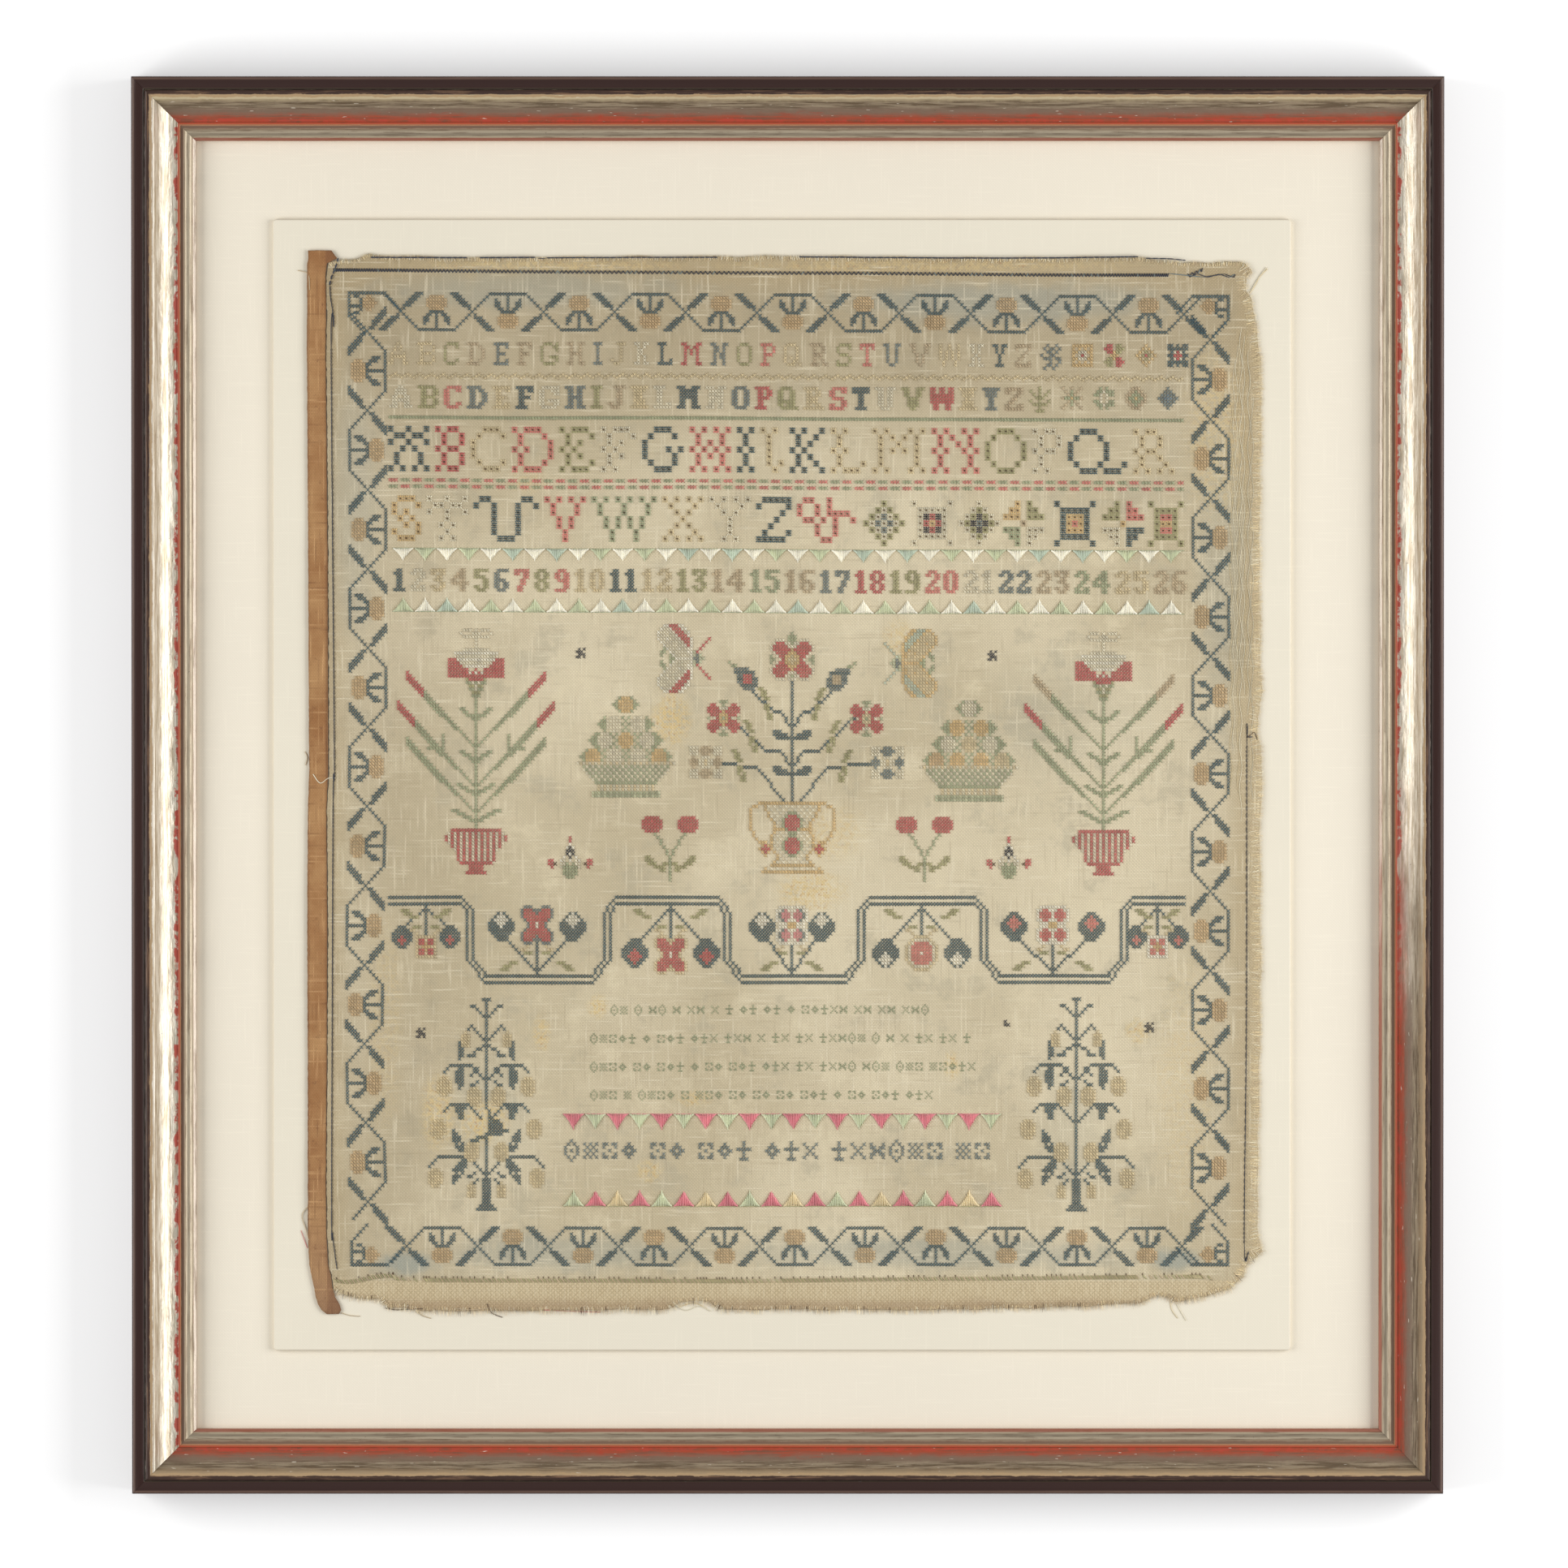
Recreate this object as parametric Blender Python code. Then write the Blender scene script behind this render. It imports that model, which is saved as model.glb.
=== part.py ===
"""Framed cross stitch sampler, lying on its back with the worked side up.

Lengths are metres. +Z is up, away from the wall when the frame hangs, +X is the viewer's
right and +Y the top of the work. The origin is under the middle of the frame, on the
surface that its back rests on.

The pieces are four mitred rails, a linen-covered board in their rebate, a thin
linen-covered panel on that board, the sampler's cloth with its ragged outline, and the
woven tape that binds the cloth's left side.
"""

import math
from typing import NamedTuple

import bmesh
import bpy
from mathutils import Vector

MM = 0.001
GAP = 0.3 * MM  # between pieces that touch

# Frame, outside sizes and the sizes across one rail
FRAME_WIDTH = 560 * MM
FRAME_HEIGHT = 605 * MM
RAIL_WIDTH = 27.2 * MM
REBATE_WIDTH = 8 * MM
REBATE_DEPTH = 13 * MM
COVE_STEPS = 8
COVE_SAGITTA = 1.5 * MM

# Board in the rebate
BOARD_THICKNESS = 5 * MM
BOARD_SIDE_PLAY = 1 * MM
BOARD_CORNER = 2 * MM

# Raised panel on the board, a little left of the middle
PANEL_WIDTH = 434.9 * MM
PANEL_HEIGHT = 483.5 * MM
PANEL_OFFSET_X = -2.4 * MM
PANEL_THICKNESS = 2 * MM
PANEL_CORNER = 1.4 * MM

LINEN_EDGE = 0.6 * MM  # radius of the linen's turn over a board's edge
EDGE_STEPS = 3
CORNER_STEPS = 5

# Cloth of the sampler
CLOTH_TOP = 226 * MM
CLOTH_RIGHT = 201.6 * MM
CLOTH_BOTTOM = -224.5 * MM
CLOTH_THICKNESS = 1 * MM
RAGGED_STEP = 5.5 * MM
RAGGED_DEPTH = 0.25 * MM

# Tape
TAPE_THICKNESS = 1.1 * MM


class Across(NamedTuple):
    """A point of the rail's section, in millimetres."""

    inset: float  # inwards from the rail's outer side
    height: float  # above the back


class Side(NamedTuple):
    """A point of a ragged side of the cloth, in millimetres."""

    along: float  # from the middle of the frame, along the side
    inset: float  # inside the cloth's nominal side


class TapeRow(NamedTuple):
    """The tape's two edges at one height, in millimetres from the frame's middle."""

    y: float
    left: float
    right: float


class Rail(NamedTuple):
    """A rail: the way it runs and the way its outer side faces."""

    name: str
    along: Vector
    outwards: Vector
    half_length: float
    half_reach: float


class Finish(NamedTuple):
    colour: tuple
    roughness: float
    metallic: float


OUTER_SECTION = (
    Across(0.5, 0.0),
    Across(0.0, 0.5),
    Across(0.0, 24.7),
    Across(0.3, 25.4),
    Across(1.1, 25.8),
    Across(5.0, 25.8),
    Across(5.3, 25.1),
    Across(5.6, 25.1),
    Across(5.9, 26.0),
    Across(6.6, 26.3),
    Across(7.8, 26.3),
    Across(9.0, 26.0),
    Across(9.8, 25.2),
)
INNER_SECTION = (
    Across(19.3, 18.2),
    Across(19.5, 18.8),
    Across(20.3, 18.8),
    Across(20.6, 18.0),
    Across(22.1, 18.0),
    Across(22.4, 18.9),
    Across(23.2, 19.4),
    Across(24.4, 19.4),
    Across(25.6, 18.7),
    Across(26.2, 17.7),
    Across(26.9, 17.4),
)

# The sides run clockwise from the top left corner.
TOP_SIDE = (
    Side(-191.2, 1.4),
    Side(-184.7, 1.7),
    Side(-181.9, -0.2),
    Side(-179.1, -0.9),
    Side(-174.5, -0.2),
    Side(-163.0, 0.0),
    Side(-134.0, 0.7),
    Side(-60.0, 0.2),
    Side(0.0, 0.0),
    Side(93.0, 0.8),
    Side(150.0, 0.4),
    Side(163.0, 1.9),
    Side(169.6, 3.0),
    Side(174.4, 2.1),
    Side(179.7, 3.0),
    Side(186.0, 2.3),
    Side(195.0, 2.6),
)
RIGHT_SIDE = (
    Side(222.4, 5.6),
    Side(219.1, 3.1),
    Side(216.6, 5.5),
    Side(211.4, 5.5),
    Side(208.6, 3.5),
    Side(197.9, 1.4),
    Side(183.7, -0.3),
    Side(172.6, -1.0),
    Side(99.8, 0.0),
    Side(40.0, -0.9),
    Side(22.0, 1.0),
    Side(17.0, -0.4),
    Side(1.6, -1.4),
    Side(-11.0, -0.3),
    Side(-80.0, -0.7),
    Side(-150.0, 0.2),
    Side(-180.2, 0.5),
    Side(-188.6, 1.0),
    Side(-194.3, 0.0),
    Side(-199.2, -1.2),
    Side(-202.3, 1.8),
    Side(-204.0, 4.2),
    Side(-206.7, 5.9),
    Side(-210.3, 6.7),
)
BOTTOM_SIDE = (
    Side(191.6, 12.0),
    Side(190.0, 9.4),
    Side(184.2, 7.6),
    Side(178.0, 5.9),
    Side(171.0, 4.3),
    Side(165.7, 3.2),
    Side(162.0, 5.4),
    Side(157.7, 6.4),
    Side(153.3, 4.1),
    Side(149.7, 2.9),
    Side(116.0, 1.2),
    Side(60.0, 0.0),
    Side(-20.0, 0.3),
    Side(-29.0, 0.6),
    Side(-34.0, 3.6),
    Side(-46.0, 3.4),
    Side(-50.0, 0.4),
    Side(-100.0, -0.2),
    Side(-156.0, -0.5),
    Side(-163.8, 0.6),
    Side(-171.2, 1.4),
    Side(-174.2, 4.5),
    Side(-184.0, 5.2),
    Side(-190.0, 6.6),
)

# Where the cloth's left side, along the tape, starts and ends
CLOTH_LEFT_FROM = -215.5 * MM
CLOTH_LEFT_TO = 223.6 * MM

TAPE_ROWS = (
    TapeRow(228.5, -204.8, -194.9),
    TapeRow(227.3, -204.9, -194.0),
    TapeRow(225.2, -204.8, -192.3),
    TapeRow(223.0, -205.2, -196.7),
    TapeRow(217.8, -205.4, -197.4),
    TapeRow(205.3, -205.3, -197.1),
    TapeRow(186.8, -205.4, -197.4),
    TapeRow(100.0, -204.9, -196.6),
    TapeRow(23.0, -204.6, -196.4),
    TapeRow(5.0, -204.5, -196.4),
    TapeRow(-11.0, -205.1, -197.2),
    TapeRow(-60.0, -205.4, -196.8),
    TapeRow(-120.0, -205.2, -197.1),
    TapeRow(-170.0, -205.2, -197.5),
    TapeRow(-191.7, -205.2, -197.2),
    TapeRow(-205.0, -204.6, -196.6),
    TapeRow(-209.4, -203.7, -195.4),
    TapeRow(-215.0, -202.5, -194.7),
    TapeRow(-219.0, -201.8, -193.4),
    TapeRow(-221.8, -200.9, -191.8),
    TapeRow(-224.4, -199.4, -190.9),
    TapeRow(-226.2, -197.0, -192.0),
)

WOOD = Finish((0.30, 0.25, 0.21), 0.45, 0.0)
OUTER_LINEN = Finish((0.85, 0.79, 0.66), 0.9, 0.0)
INNER_LINEN = Finish((0.87, 0.82, 0.70), 0.9, 0.0)
GROUND_CLOTH = Finish((0.56, 0.49, 0.34), 0.95, 0.0)
TAPE_COTTON = Finish((0.44, 0.19, 0.08), 0.9, 0.0)


def clear_scene():
    for obj in list(bpy.data.objects):
        bpy.data.objects.remove(obj, do_unlink=True)


def dressed_object(name, mesh, finish):
    """Wraps a mesh in an object of this name with its own material."""
    material = bpy.data.materials.new(name)
    material.use_nodes = True
    shader = material.node_tree.nodes["Principled BSDF"]
    shader.inputs["Base Color"].default_value = (*finish.colour, 1)
    shader.inputs["Roughness"].default_value = finish.roughness
    shader.inputs["Metallic"].default_value = finish.metallic
    mesh.materials.append(material)
    obj = bpy.data.objects.new(name, mesh)
    bpy.context.collection.objects.link(obj)
    return obj


def stacked_rings(name, rings, finish):
    """A closed solid whose rings of points are joined in order and capped at both ends."""
    bm = bmesh.new()
    levels = [[bm.verts.new(point) for point in ring] for ring in rings]
    count = len(rings[0])
    for lower, upper in zip(levels, levels[1:]):
        for i in range(count):
            j = (i + 1) % count
            bm.faces.new((lower[i], lower[j], upper[j], upper[i]))
    bm.faces.new(levels[0])
    bm.faces.new(levels[-1])
    bmesh.ops.recalc_face_normals(bm, faces=bm.faces)
    mesh = bpy.data.meshes.new(name)
    bm.to_mesh(mesh)
    bm.free()
    return dressed_object(name, mesh, finish)


def between(rows, at):
    """The columns after the first, at this value of the first one, in straight steps."""
    for above, below in zip(rows, rows[1:]):
        low, high = sorted((above[0], below[0]))
        if low <= at <= high:
            share = (at - above[0]) / (below[0] - above[0])
            return [a + (b - a) * share for a, b in zip(above[1:], below[1:])]
    nearest = min(rows, key=lambda row: abs(row[0] - at))
    return list(nearest[1:])


def cove_section():
    """Points of the hollow between the outer and inner mouldings."""
    start, end = OUTER_SECTION[-1], INNER_SECTION[0]
    run, fall = end.inset - start.inset, end.height - start.height
    chord = math.hypot(run, fall)
    sagitta = COVE_SAGITTA / MM
    points = []
    for step in range(1, COVE_STEPS):
        share = step / COVE_STEPS
        sink = 4 * sagitta * share * (1 - share)
        points.append(
            Across(
                start.inset + run * share + fall / chord * sink,
                start.height + fall * share - run / chord * sink,
            )
        )
    return tuple(points)


def rail_section():
    """The rail's section as a closed loop, with its rebate under the inner edge."""
    width, rebate = RAIL_WIDTH / MM, REBATE_WIDTH / MM
    lip = REBATE_DEPTH / MM
    sight_and_rebate = (
        Across(width, INNER_SECTION[-1].height - 0.4),
        Across(width, lip),
        Across(width - rebate, lip),
        Across(width - rebate, 0.0),
    )
    return OUTER_SECTION + cove_section() + INNER_SECTION + sight_and_rebate


def make_rail(rail):
    """A rail cut to 45 degrees at both ends, half the gap clear of each mitre."""
    set_back = GAP / 2 * math.sqrt(2)
    rings = []
    for end in (-1, 1):
        ring = []
        for point in rail_section():
            inset, height = point.inset * MM, point.height * MM
            reach = rail.outwards * (rail.half_reach - inset)
            run = rail.along * end * (rail.half_length - inset - set_back)
            ring.append(reach + run + Vector((0, 0, height)))
        rings.append(ring)
    return stacked_rings(rail.name, rings, WOOD)


def make_rails():
    half_width, half_height = FRAME_WIDTH / 2, FRAME_HEIGHT / 2
    across, upwards = Vector((1, 0, 0)), Vector((0, 1, 0))
    for rail in (
        Rail("rail_top", across, upwards, half_width, half_height),
        Rail("rail_bottom", across, -upwards, half_width, half_height),
        Rail("rail_left", upwards, -across, half_height, half_width),
        Rail("rail_right", upwards, across, half_height, half_width),
    ):
        make_rail(rail)


def rounded_rectangle(width, height, radius, centre_x, z):
    """An outline with round corners, anticlockwise from the right end of the top side."""
    points = []
    for quarter in range(4):
        side_x = 1 if quarter in (0, 3) else -1
        side_y = 1 if quarter in (0, 1) else -1
        for step in range(CORNER_STEPS + 1):
            angle = math.pi / 2 * (quarter + step / CORNER_STEPS)
            points.append(
                Vector(
                    (
                        centre_x + side_x * (width / 2 - radius) + radius * math.cos(angle),
                        side_y * (height / 2 - radius) + radius * math.sin(angle),
                        z,
                    )
                )
            )
    return points


def covered_board(name, width, height, radius, centre_x, bottom, thickness, finish):
    """A flat board whose linen turns over its front edges."""
    top = bottom + thickness
    rings = [rounded_rectangle(width, height, radius, centre_x, bottom)]
    for step in range(EDGE_STEPS + 1):
        angle = math.pi / 2 * step / EDGE_STEPS
        shrink = LINEN_EDGE * (1 - math.cos(angle))
        rings.append(
            rounded_rectangle(
                width - 2 * shrink,
                height - 2 * shrink,
                radius - shrink,
                centre_x,
                top - LINEN_EDGE * (1 - math.sin(angle)),
            )
        )
    return stacked_rings(name, rings, finish)


def make_boards():
    """The board in the rebate and the raised panel, and the height of the panel's face."""
    opening = RAIL_WIDTH - REBATE_WIDTH + BOARD_SIDE_PLAY
    board_bottom = REBATE_DEPTH - GAP - BOARD_THICKNESS
    covered_board(
        "mount_board",
        FRAME_WIDTH - 2 * opening,
        FRAME_HEIGHT - 2 * opening,
        BOARD_CORNER,
        0,
        board_bottom,
        BOARD_THICKNESS,
        OUTER_LINEN,
    )
    panel_bottom = board_bottom + BOARD_THICKNESS + GAP
    covered_board(
        "raised_panel",
        PANEL_WIDTH,
        PANEL_HEIGHT,
        PANEL_CORNER,
        PANEL_OFFSET_X,
        panel_bottom,
        PANEL_THICKNESS,
        INNER_LINEN,
    )
    return panel_bottom + PANEL_THICKNESS


def frayed(along):
    """A small uneven step in or out that fraying leaves at this place on a side."""
    wave = math.sin(along * 1.37) + 0.6 * math.sin(along * 3.1 + 1.0)
    return RAGGED_DEPTH / MM * wave


def side_points(rows):
    """(along, inset) in millimetres every few steps between the first and last rows."""
    points = []
    for start, end in zip(rows, rows[1:]):
        steps = max(1, round(abs(end.along - start.along) * MM / RAGGED_STEP))
        for step in range(steps):
            share = step / steps
            along = start.along + (end.along - start.along) * share
            inset = start.inset + (end.inset - start.inset) * share
            points.append(Side(along, inset + frayed(along)))
    points.append(rows[-1])
    return points


def cloth_outline():
    """The sampler's ragged outline, clockwise from its top left corner."""
    outline = [(s.along * MM, CLOTH_TOP - s.inset * MM) for s in side_points(TOP_SIDE)]
    outline += [(CLOTH_RIGHT - s.inset * MM, s.along * MM) for s in side_points(RIGHT_SIDE)]
    outline += [(s.along * MM, CLOTH_BOTTOM + s.inset * MM) for s in side_points(BOTTOM_SIDE)]
    heights = [row.y * MM for row in TAPE_ROWS if CLOTH_LEFT_FROM < row.y * MM < CLOTH_LEFT_TO]
    for y in (CLOTH_LEFT_FROM, *reversed(heights), CLOTH_LEFT_TO):
        tape_edge = between(TAPE_ROWS, y / MM)[1] * MM
        outline.append((tape_edge + GAP, y))
    return outline


def tape_outline():
    """The tape's outline: down its left edge and up its right one."""
    left = [(row.left * MM, row.y * MM) for row in TAPE_ROWS]
    right = [(row.right * MM, row.y * MM) for row in reversed(TAPE_ROWS)]
    return left + right


def flat_sheet(name, outline, bottom, thickness, finish):
    rings = [[Vector((x, y, z)) for x, y in outline] for z in (bottom, bottom + thickness)]
    return stacked_rings(name, rings, finish)


def main():
    clear_scene()
    make_rails()
    panel_face = make_boards()
    flat_sheet(
        "sampler_cloth", cloth_outline(), panel_face + GAP, CLOTH_THICKNESS, GROUND_CLOTH
    )
    flat_sheet("binding_tape", tape_outline(), panel_face + GAP, TAPE_THICKNESS, TAPE_COTTON)


main()
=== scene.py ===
"""Looks of a framed cross stitch sampler: moulding, linen boards, worn cloth and all its sewing.

The cloth, tape and rails stand for the plain solids of the frame file. Every stitch is a
small thread of its own, laid by Geometry Nodes on the cloth's uneven surface.
"""

import logging
import math
import random
from collections.abc import Iterable, Sequence
from dataclasses import dataclass, field
from enum import Enum
from typing import NamedTuple, Union

import bmesh
import bpy
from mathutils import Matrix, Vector, noise
from mathutils.geometry import delaunay_2d_cdt


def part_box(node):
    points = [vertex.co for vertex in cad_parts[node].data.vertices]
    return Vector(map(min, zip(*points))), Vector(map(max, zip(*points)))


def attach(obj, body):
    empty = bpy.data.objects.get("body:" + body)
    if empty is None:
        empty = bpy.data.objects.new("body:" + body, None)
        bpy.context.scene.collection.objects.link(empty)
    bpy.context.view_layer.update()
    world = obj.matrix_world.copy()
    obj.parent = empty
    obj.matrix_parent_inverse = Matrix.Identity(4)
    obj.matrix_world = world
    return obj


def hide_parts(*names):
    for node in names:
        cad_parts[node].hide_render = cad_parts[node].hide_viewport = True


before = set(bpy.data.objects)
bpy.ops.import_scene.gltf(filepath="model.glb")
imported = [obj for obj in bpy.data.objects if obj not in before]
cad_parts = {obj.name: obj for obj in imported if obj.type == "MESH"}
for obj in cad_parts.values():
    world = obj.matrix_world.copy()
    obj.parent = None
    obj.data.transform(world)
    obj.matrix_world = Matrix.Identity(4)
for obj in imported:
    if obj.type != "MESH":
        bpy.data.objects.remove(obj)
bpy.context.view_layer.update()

LOG = logging.getLogger("sampler")
MM = 0.001
BAKE_MAP = "OFBake"  # the planar map of a piece made of thousands of threads

PITCH_X = 1.277 * MM  # one stitch across
PITCH_Y = 1.404 * MM  # one stitch up, inside the border
FINE = 0.5  # size of the small stitches over one thread

Colour = tuple[float, float, float]
Point = tuple[float, float]
Cell = tuple[int, int]


def linear(red: int, green: int, blue: int) -> Colour:
    """Turns display values from 0 to 255 into linear light.

    Args:
        red: The red value.
        green: The green value.
        blue: The blue value.

    Returns:
        The colour as three linear numbers.
    """
    shares = (value / 255 for value in (red, green, blue))
    return tuple(s / 12.92 if s <= 0.04045 else ((s + 0.055) / 1.055) ** 2.4 for s in shares)


class Thread(Enum):
    """Embroidery threads, each with the letter that the charts use and its faded colour."""

    INDIGO = ("i", (78, 104, 110))
    NAVY = ("n", (54, 58, 70))
    SLATE = ("b", (122, 136, 136))
    RED = ("r", (208, 96, 98))
    ROSE = ("o", (228, 134, 126))
    PINK = ("p", (224, 142, 148))
    GOLD = ("g", (230, 198, 140))
    BERRY = ("y", (220, 190, 144))
    STRAW = ("s", (230, 212, 170))
    CREAM = ("c", (236, 228, 202))
    BRIGHT = ("w", (248, 243, 224))
    TAN = ("t", (208, 188, 154))
    OLIVE = ("v", (182, 178, 130))
    SAGE = ("e", (176, 184, 148))
    MINT = ("m", (210, 214, 180))
    AQUA = ("a", (200, 210, 190))
    BLUE = ("u", (116, 142, 158))
    SHADOW = ("k", (104, 82, 60))

    @property
    def colour(self) -> Colour:
        """The thread's colour in linear light."""
        return linear(*self.value[1])

    @classmethod
    def of(cls, letter: str) -> "Thread":
        """The thread that a chart's letter names."""
        return next(thread for thread in cls if thread.value[0] == letter)


class Slot(Enum):
    """Material slots of the record."""

    MOULDING = "moulding"
    OUTER_LINEN = "outer_linen"
    INNER_LINEN = "inner_linen"
    CLOTH = "ground_cloth"
    TAPE = "tape"


# Node trees

Operand = Union["Wire", float]


class Wire:
    """An output socket that takes part in arithmetic."""

    def __init__(self, shop: "NodeShop", socket: bpy.types.NodeSocket) -> None:
        """Keeps the socket and the shop that adds nodes beside it."""
        self.shop = shop
        self.socket = socket

    def __add__(self, other: Operand) -> "Wire":
        """Sum."""
        return self.shop.maths("ADD", self, other)

    def __radd__(self, other: float) -> "Wire":
        """Sum with a number first."""
        return self.shop.maths("ADD", other, self)

    def __sub__(self, other: Operand) -> "Wire":
        """Difference."""
        return self.shop.maths("SUBTRACT", self, other)

    def __rsub__(self, other: float) -> "Wire":
        """Difference from a number."""
        return self.shop.maths("SUBTRACT", other, self)

    def __mul__(self, other: Operand) -> "Wire":
        """Product."""
        return self.shop.maths("MULTIPLY", self, other)

    def __rmul__(self, other: float) -> "Wire":
        """Product with a number first."""
        return self.shop.maths("MULTIPLY", other, self)

    def __abs__(self) -> "Wire":
        """Distance from nought."""
        return self.shop.maths("ABSOLUTE", self)

    def __lt__(self, other: Operand) -> "Wire":
        """1 where this is the smaller, else 0."""
        return self.shop.maths("LESS_THAN", self, other)

    def __gt__(self, other: Operand) -> "Wire":
        """1 where this is the larger, else 0."""
        return self.shop.maths("GREATER_THAN", self, other)

    def sine(self) -> "Wire":
        """Sine of this, in radians."""
        return self.shop.maths("SINE", self)

    def whole(self) -> "Wire":
        """The whole number below."""
        return self.shop.maths("FLOOR", self)

    def least(self, other: Operand) -> "Wire":
        """The smaller of two."""
        return self.shop.maths("MINIMUM", self, other)

    def most(self, other: Operand) -> "Wire":
        """The larger of two."""
        return self.shop.maths("MAXIMUM", self, other)

    def ramp(self, low: Operand, high: Operand) -> "Wire":
        """A soft step from 0 at low to 1 at high.

        Args:
            low: Where the step starts.
            high: Where it ends, which may be below low for a step down.

        Returns:
            The step.
        """
        sockets = {"Value": self, "From Min": low, "From Max": high}
        return self.shop.add("ShaderNodeMapRange", {"interpolation_type": "SMOOTHSTEP"}, sockets)


class NodeShop:
    """Adds nodes to one tree, their settings first and their sockets after."""

    def __init__(self, tree: bpy.types.NodeTree) -> None:
        """Works on this tree."""
        self.tree = tree

    def add(self, kind: str, settings: dict | None = None, sockets: dict | None = None,
            out: int | str = 0) -> Wire:
        """Adds one node.

        Args:
            kind: The node's type.
            settings: Attributes by name.
            sockets: Values or wires by the input's name or number.
            out: The output that is returned.

        Returns:
            The output.
        """
        node = self.tree.nodes.new(kind)
        for name, value in (settings or {}).items():
            setattr(node, name, value)
        for key, value in (sockets or {}).items():
            self.feed(node.inputs[key], value)
        return Wire(self, node.outputs[out])

    def feed(self, socket: bpy.types.NodeSocket, value: object) -> None:
        """Links a wire to an input, or sets its value."""
        if isinstance(value, Wire):
            self.tree.links.new(value.socket, socket)
        elif socket.type == "RGBA":
            socket.default_value = (*value, 1.0)
        else:
            socket.default_value = value

    def maths(self, operation: str, *operands: Operand) -> Wire:
        """Adds a Math node of this operation."""
        return self.add("ShaderNodeMath", {"operation": operation}, dict(enumerate(operands)))

    def vector(self, operation: str, *operands: object) -> Wire:
        """Adds a Vector Math node of this operation."""
        return self.add("ShaderNodeVectorMath", {"operation": operation}, dict(enumerate(operands)))

    def blend(self, mask: Operand, below: object, above: object, how: str = "MIX") -> Wire:
        """Lays one colour over another.

        Args:
            mask: How much of the upper colour shows.
            below: The lower colour.
            above: The upper colour.
            how: The way the two are mixed.

        Returns:
            The mixed colour.
        """
        settings = {"data_type": "RGBA", "blend_type": how}
        return self.add("ShaderNodeMix", settings, {0: mask, 6: below, 7: above}, 2)

    def shaded(self, colour: Wire, shade: Wire) -> Wire:
        """A colour times a number."""
        return self.blend(1.0, colour, self.join(shade, shade, shade), "MULTIPLY")

    def join(self, x: Operand, y: Operand, z: Operand = 0.0) -> Wire:
        """A vector of three numbers."""
        return self.add("ShaderNodeCombineXYZ", None, {"X": x, "Y": y, "Z": z})

    def parts(self, vector: Wire) -> tuple[Wire, Wire, Wire]:
        """The three numbers of a vector."""
        node = self.add("ShaderNodeSeparateXYZ", None, {0: vector}).socket.node
        return tuple(Wire(self, output) for output in node.outputs)

    def place_mm(self) -> Wire:
        """The Object coordinates in millimetres."""
        place = self.add("ShaderNodeTexCoord", None, None, "Object")
        return self.vector("MULTIPLY", place, (1 / MM,) * 3)

    def speckle(self, where: Wire, scale: float, detail: float = 2.0, rough: float = 0.5) -> Wire:
        """Noise from 0 to 1.

        Args:
            where: Its coordinates.
            scale: Its scale in them.
            detail: Its octaves.
            rough: The strength of the finer octaves.

        Returns:
            The noise.
        """
        sockets = {"Vector": where, "Scale": scale, "Detail": detail, "Roughness": rough}
        return self.add("ShaderNodeTexNoise", None, sockets)

    def attribute(self, name: str, out: str) -> Wire:
        """A value that the mesh keeps at its points."""
        return self.add("ShaderNodeAttribute", {"attribute_name": name}, None, out)


@dataclass(frozen=True)
class Finish:
    """A surface's finish. Each kind paints its own nodes."""

    name: str
    roughness: float = 0.85

    def material(self) -> bpy.types.Material:
        """Makes the material.

        Returns:
            The new material.
        """
        material = bpy.data.materials.new(self.name)
        material.use_nodes = True
        shader = material.node_tree.nodes["Principled BSDF"]
        shader.inputs["Roughness"].default_value = self.roughness
        self.paint(NodeShop(material.node_tree), shader.inputs)
        return material

    def paint(self, shop: NodeShop, shader: bpy.types.NodeInputs) -> None:
        """Feeds the shader's sockets."""
        raise NotImplementedError

    def bump(self, shop: NodeShop, shader: bpy.types.NodeInputs, height: Wire,
             depth: float, strength: float = 1.0) -> None:
        """Raises the surface.

        Args:
            shop: Adds the nodes.
            shader: The shader's inputs.
            height: The height, from 0 to 1.
            depth: What a height of 1 stands for, in metres.
            strength: How much of it counts.
        """
        sockets = {"Height": height, "Distance": depth, "Strength": strength}
        shop.feed(shader["Normal"], shop.add("ShaderNodeBump", None, sockets))


@dataclass(frozen=True)
class Weave:
    """A plain weave's size and unevenness, in millimetres."""

    warp: float
    weft: float
    wander: float = 0.12
    slub: float = 0.045  # turns of a thread's unevenness in a millimetre

    def threads(self, shop: NodeShop, where: Wire) -> tuple[Wire, Wire, Wire]:
        """Draws the weave.

        Args:
            shop: Adds the nodes.
            where: Coordinates in millimetres.

        Returns:
            The height, the pale threads and the dark threads, each from 0 to 1.
        """
        drift = (shop.speckle(where, 0.11, 3.0) - 0.5) * (self.wander * 8)
        x, y, _ = shop.parts(where)
        column = (x + drift) * (1 / self.warp)
        row = (y + drift) * (1 / self.weft)
        across, up = (column * math.pi).sine(), (row * math.pi).sine()
        over = across * up * 0.5 + 0.5
        open_place = (1 - abs(across)) * (1 - abs(up))
        height = over * 0.6 + 0.4 - open_place * 0.6
        upright = shop.speckle(shop.join(column.whole() * 3.7, y * self.slub), 1.0, 1.0)
        level = shop.speckle(shop.join(x * self.slub, row.whole() * 3.7, 7.0), 1.0, 1.0)
        pale = upright.most(level).ramp(0.56, 0.78)
        dark = upright.least(level).ramp(0.4, 0.22)
        return height, pale, dark


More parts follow.
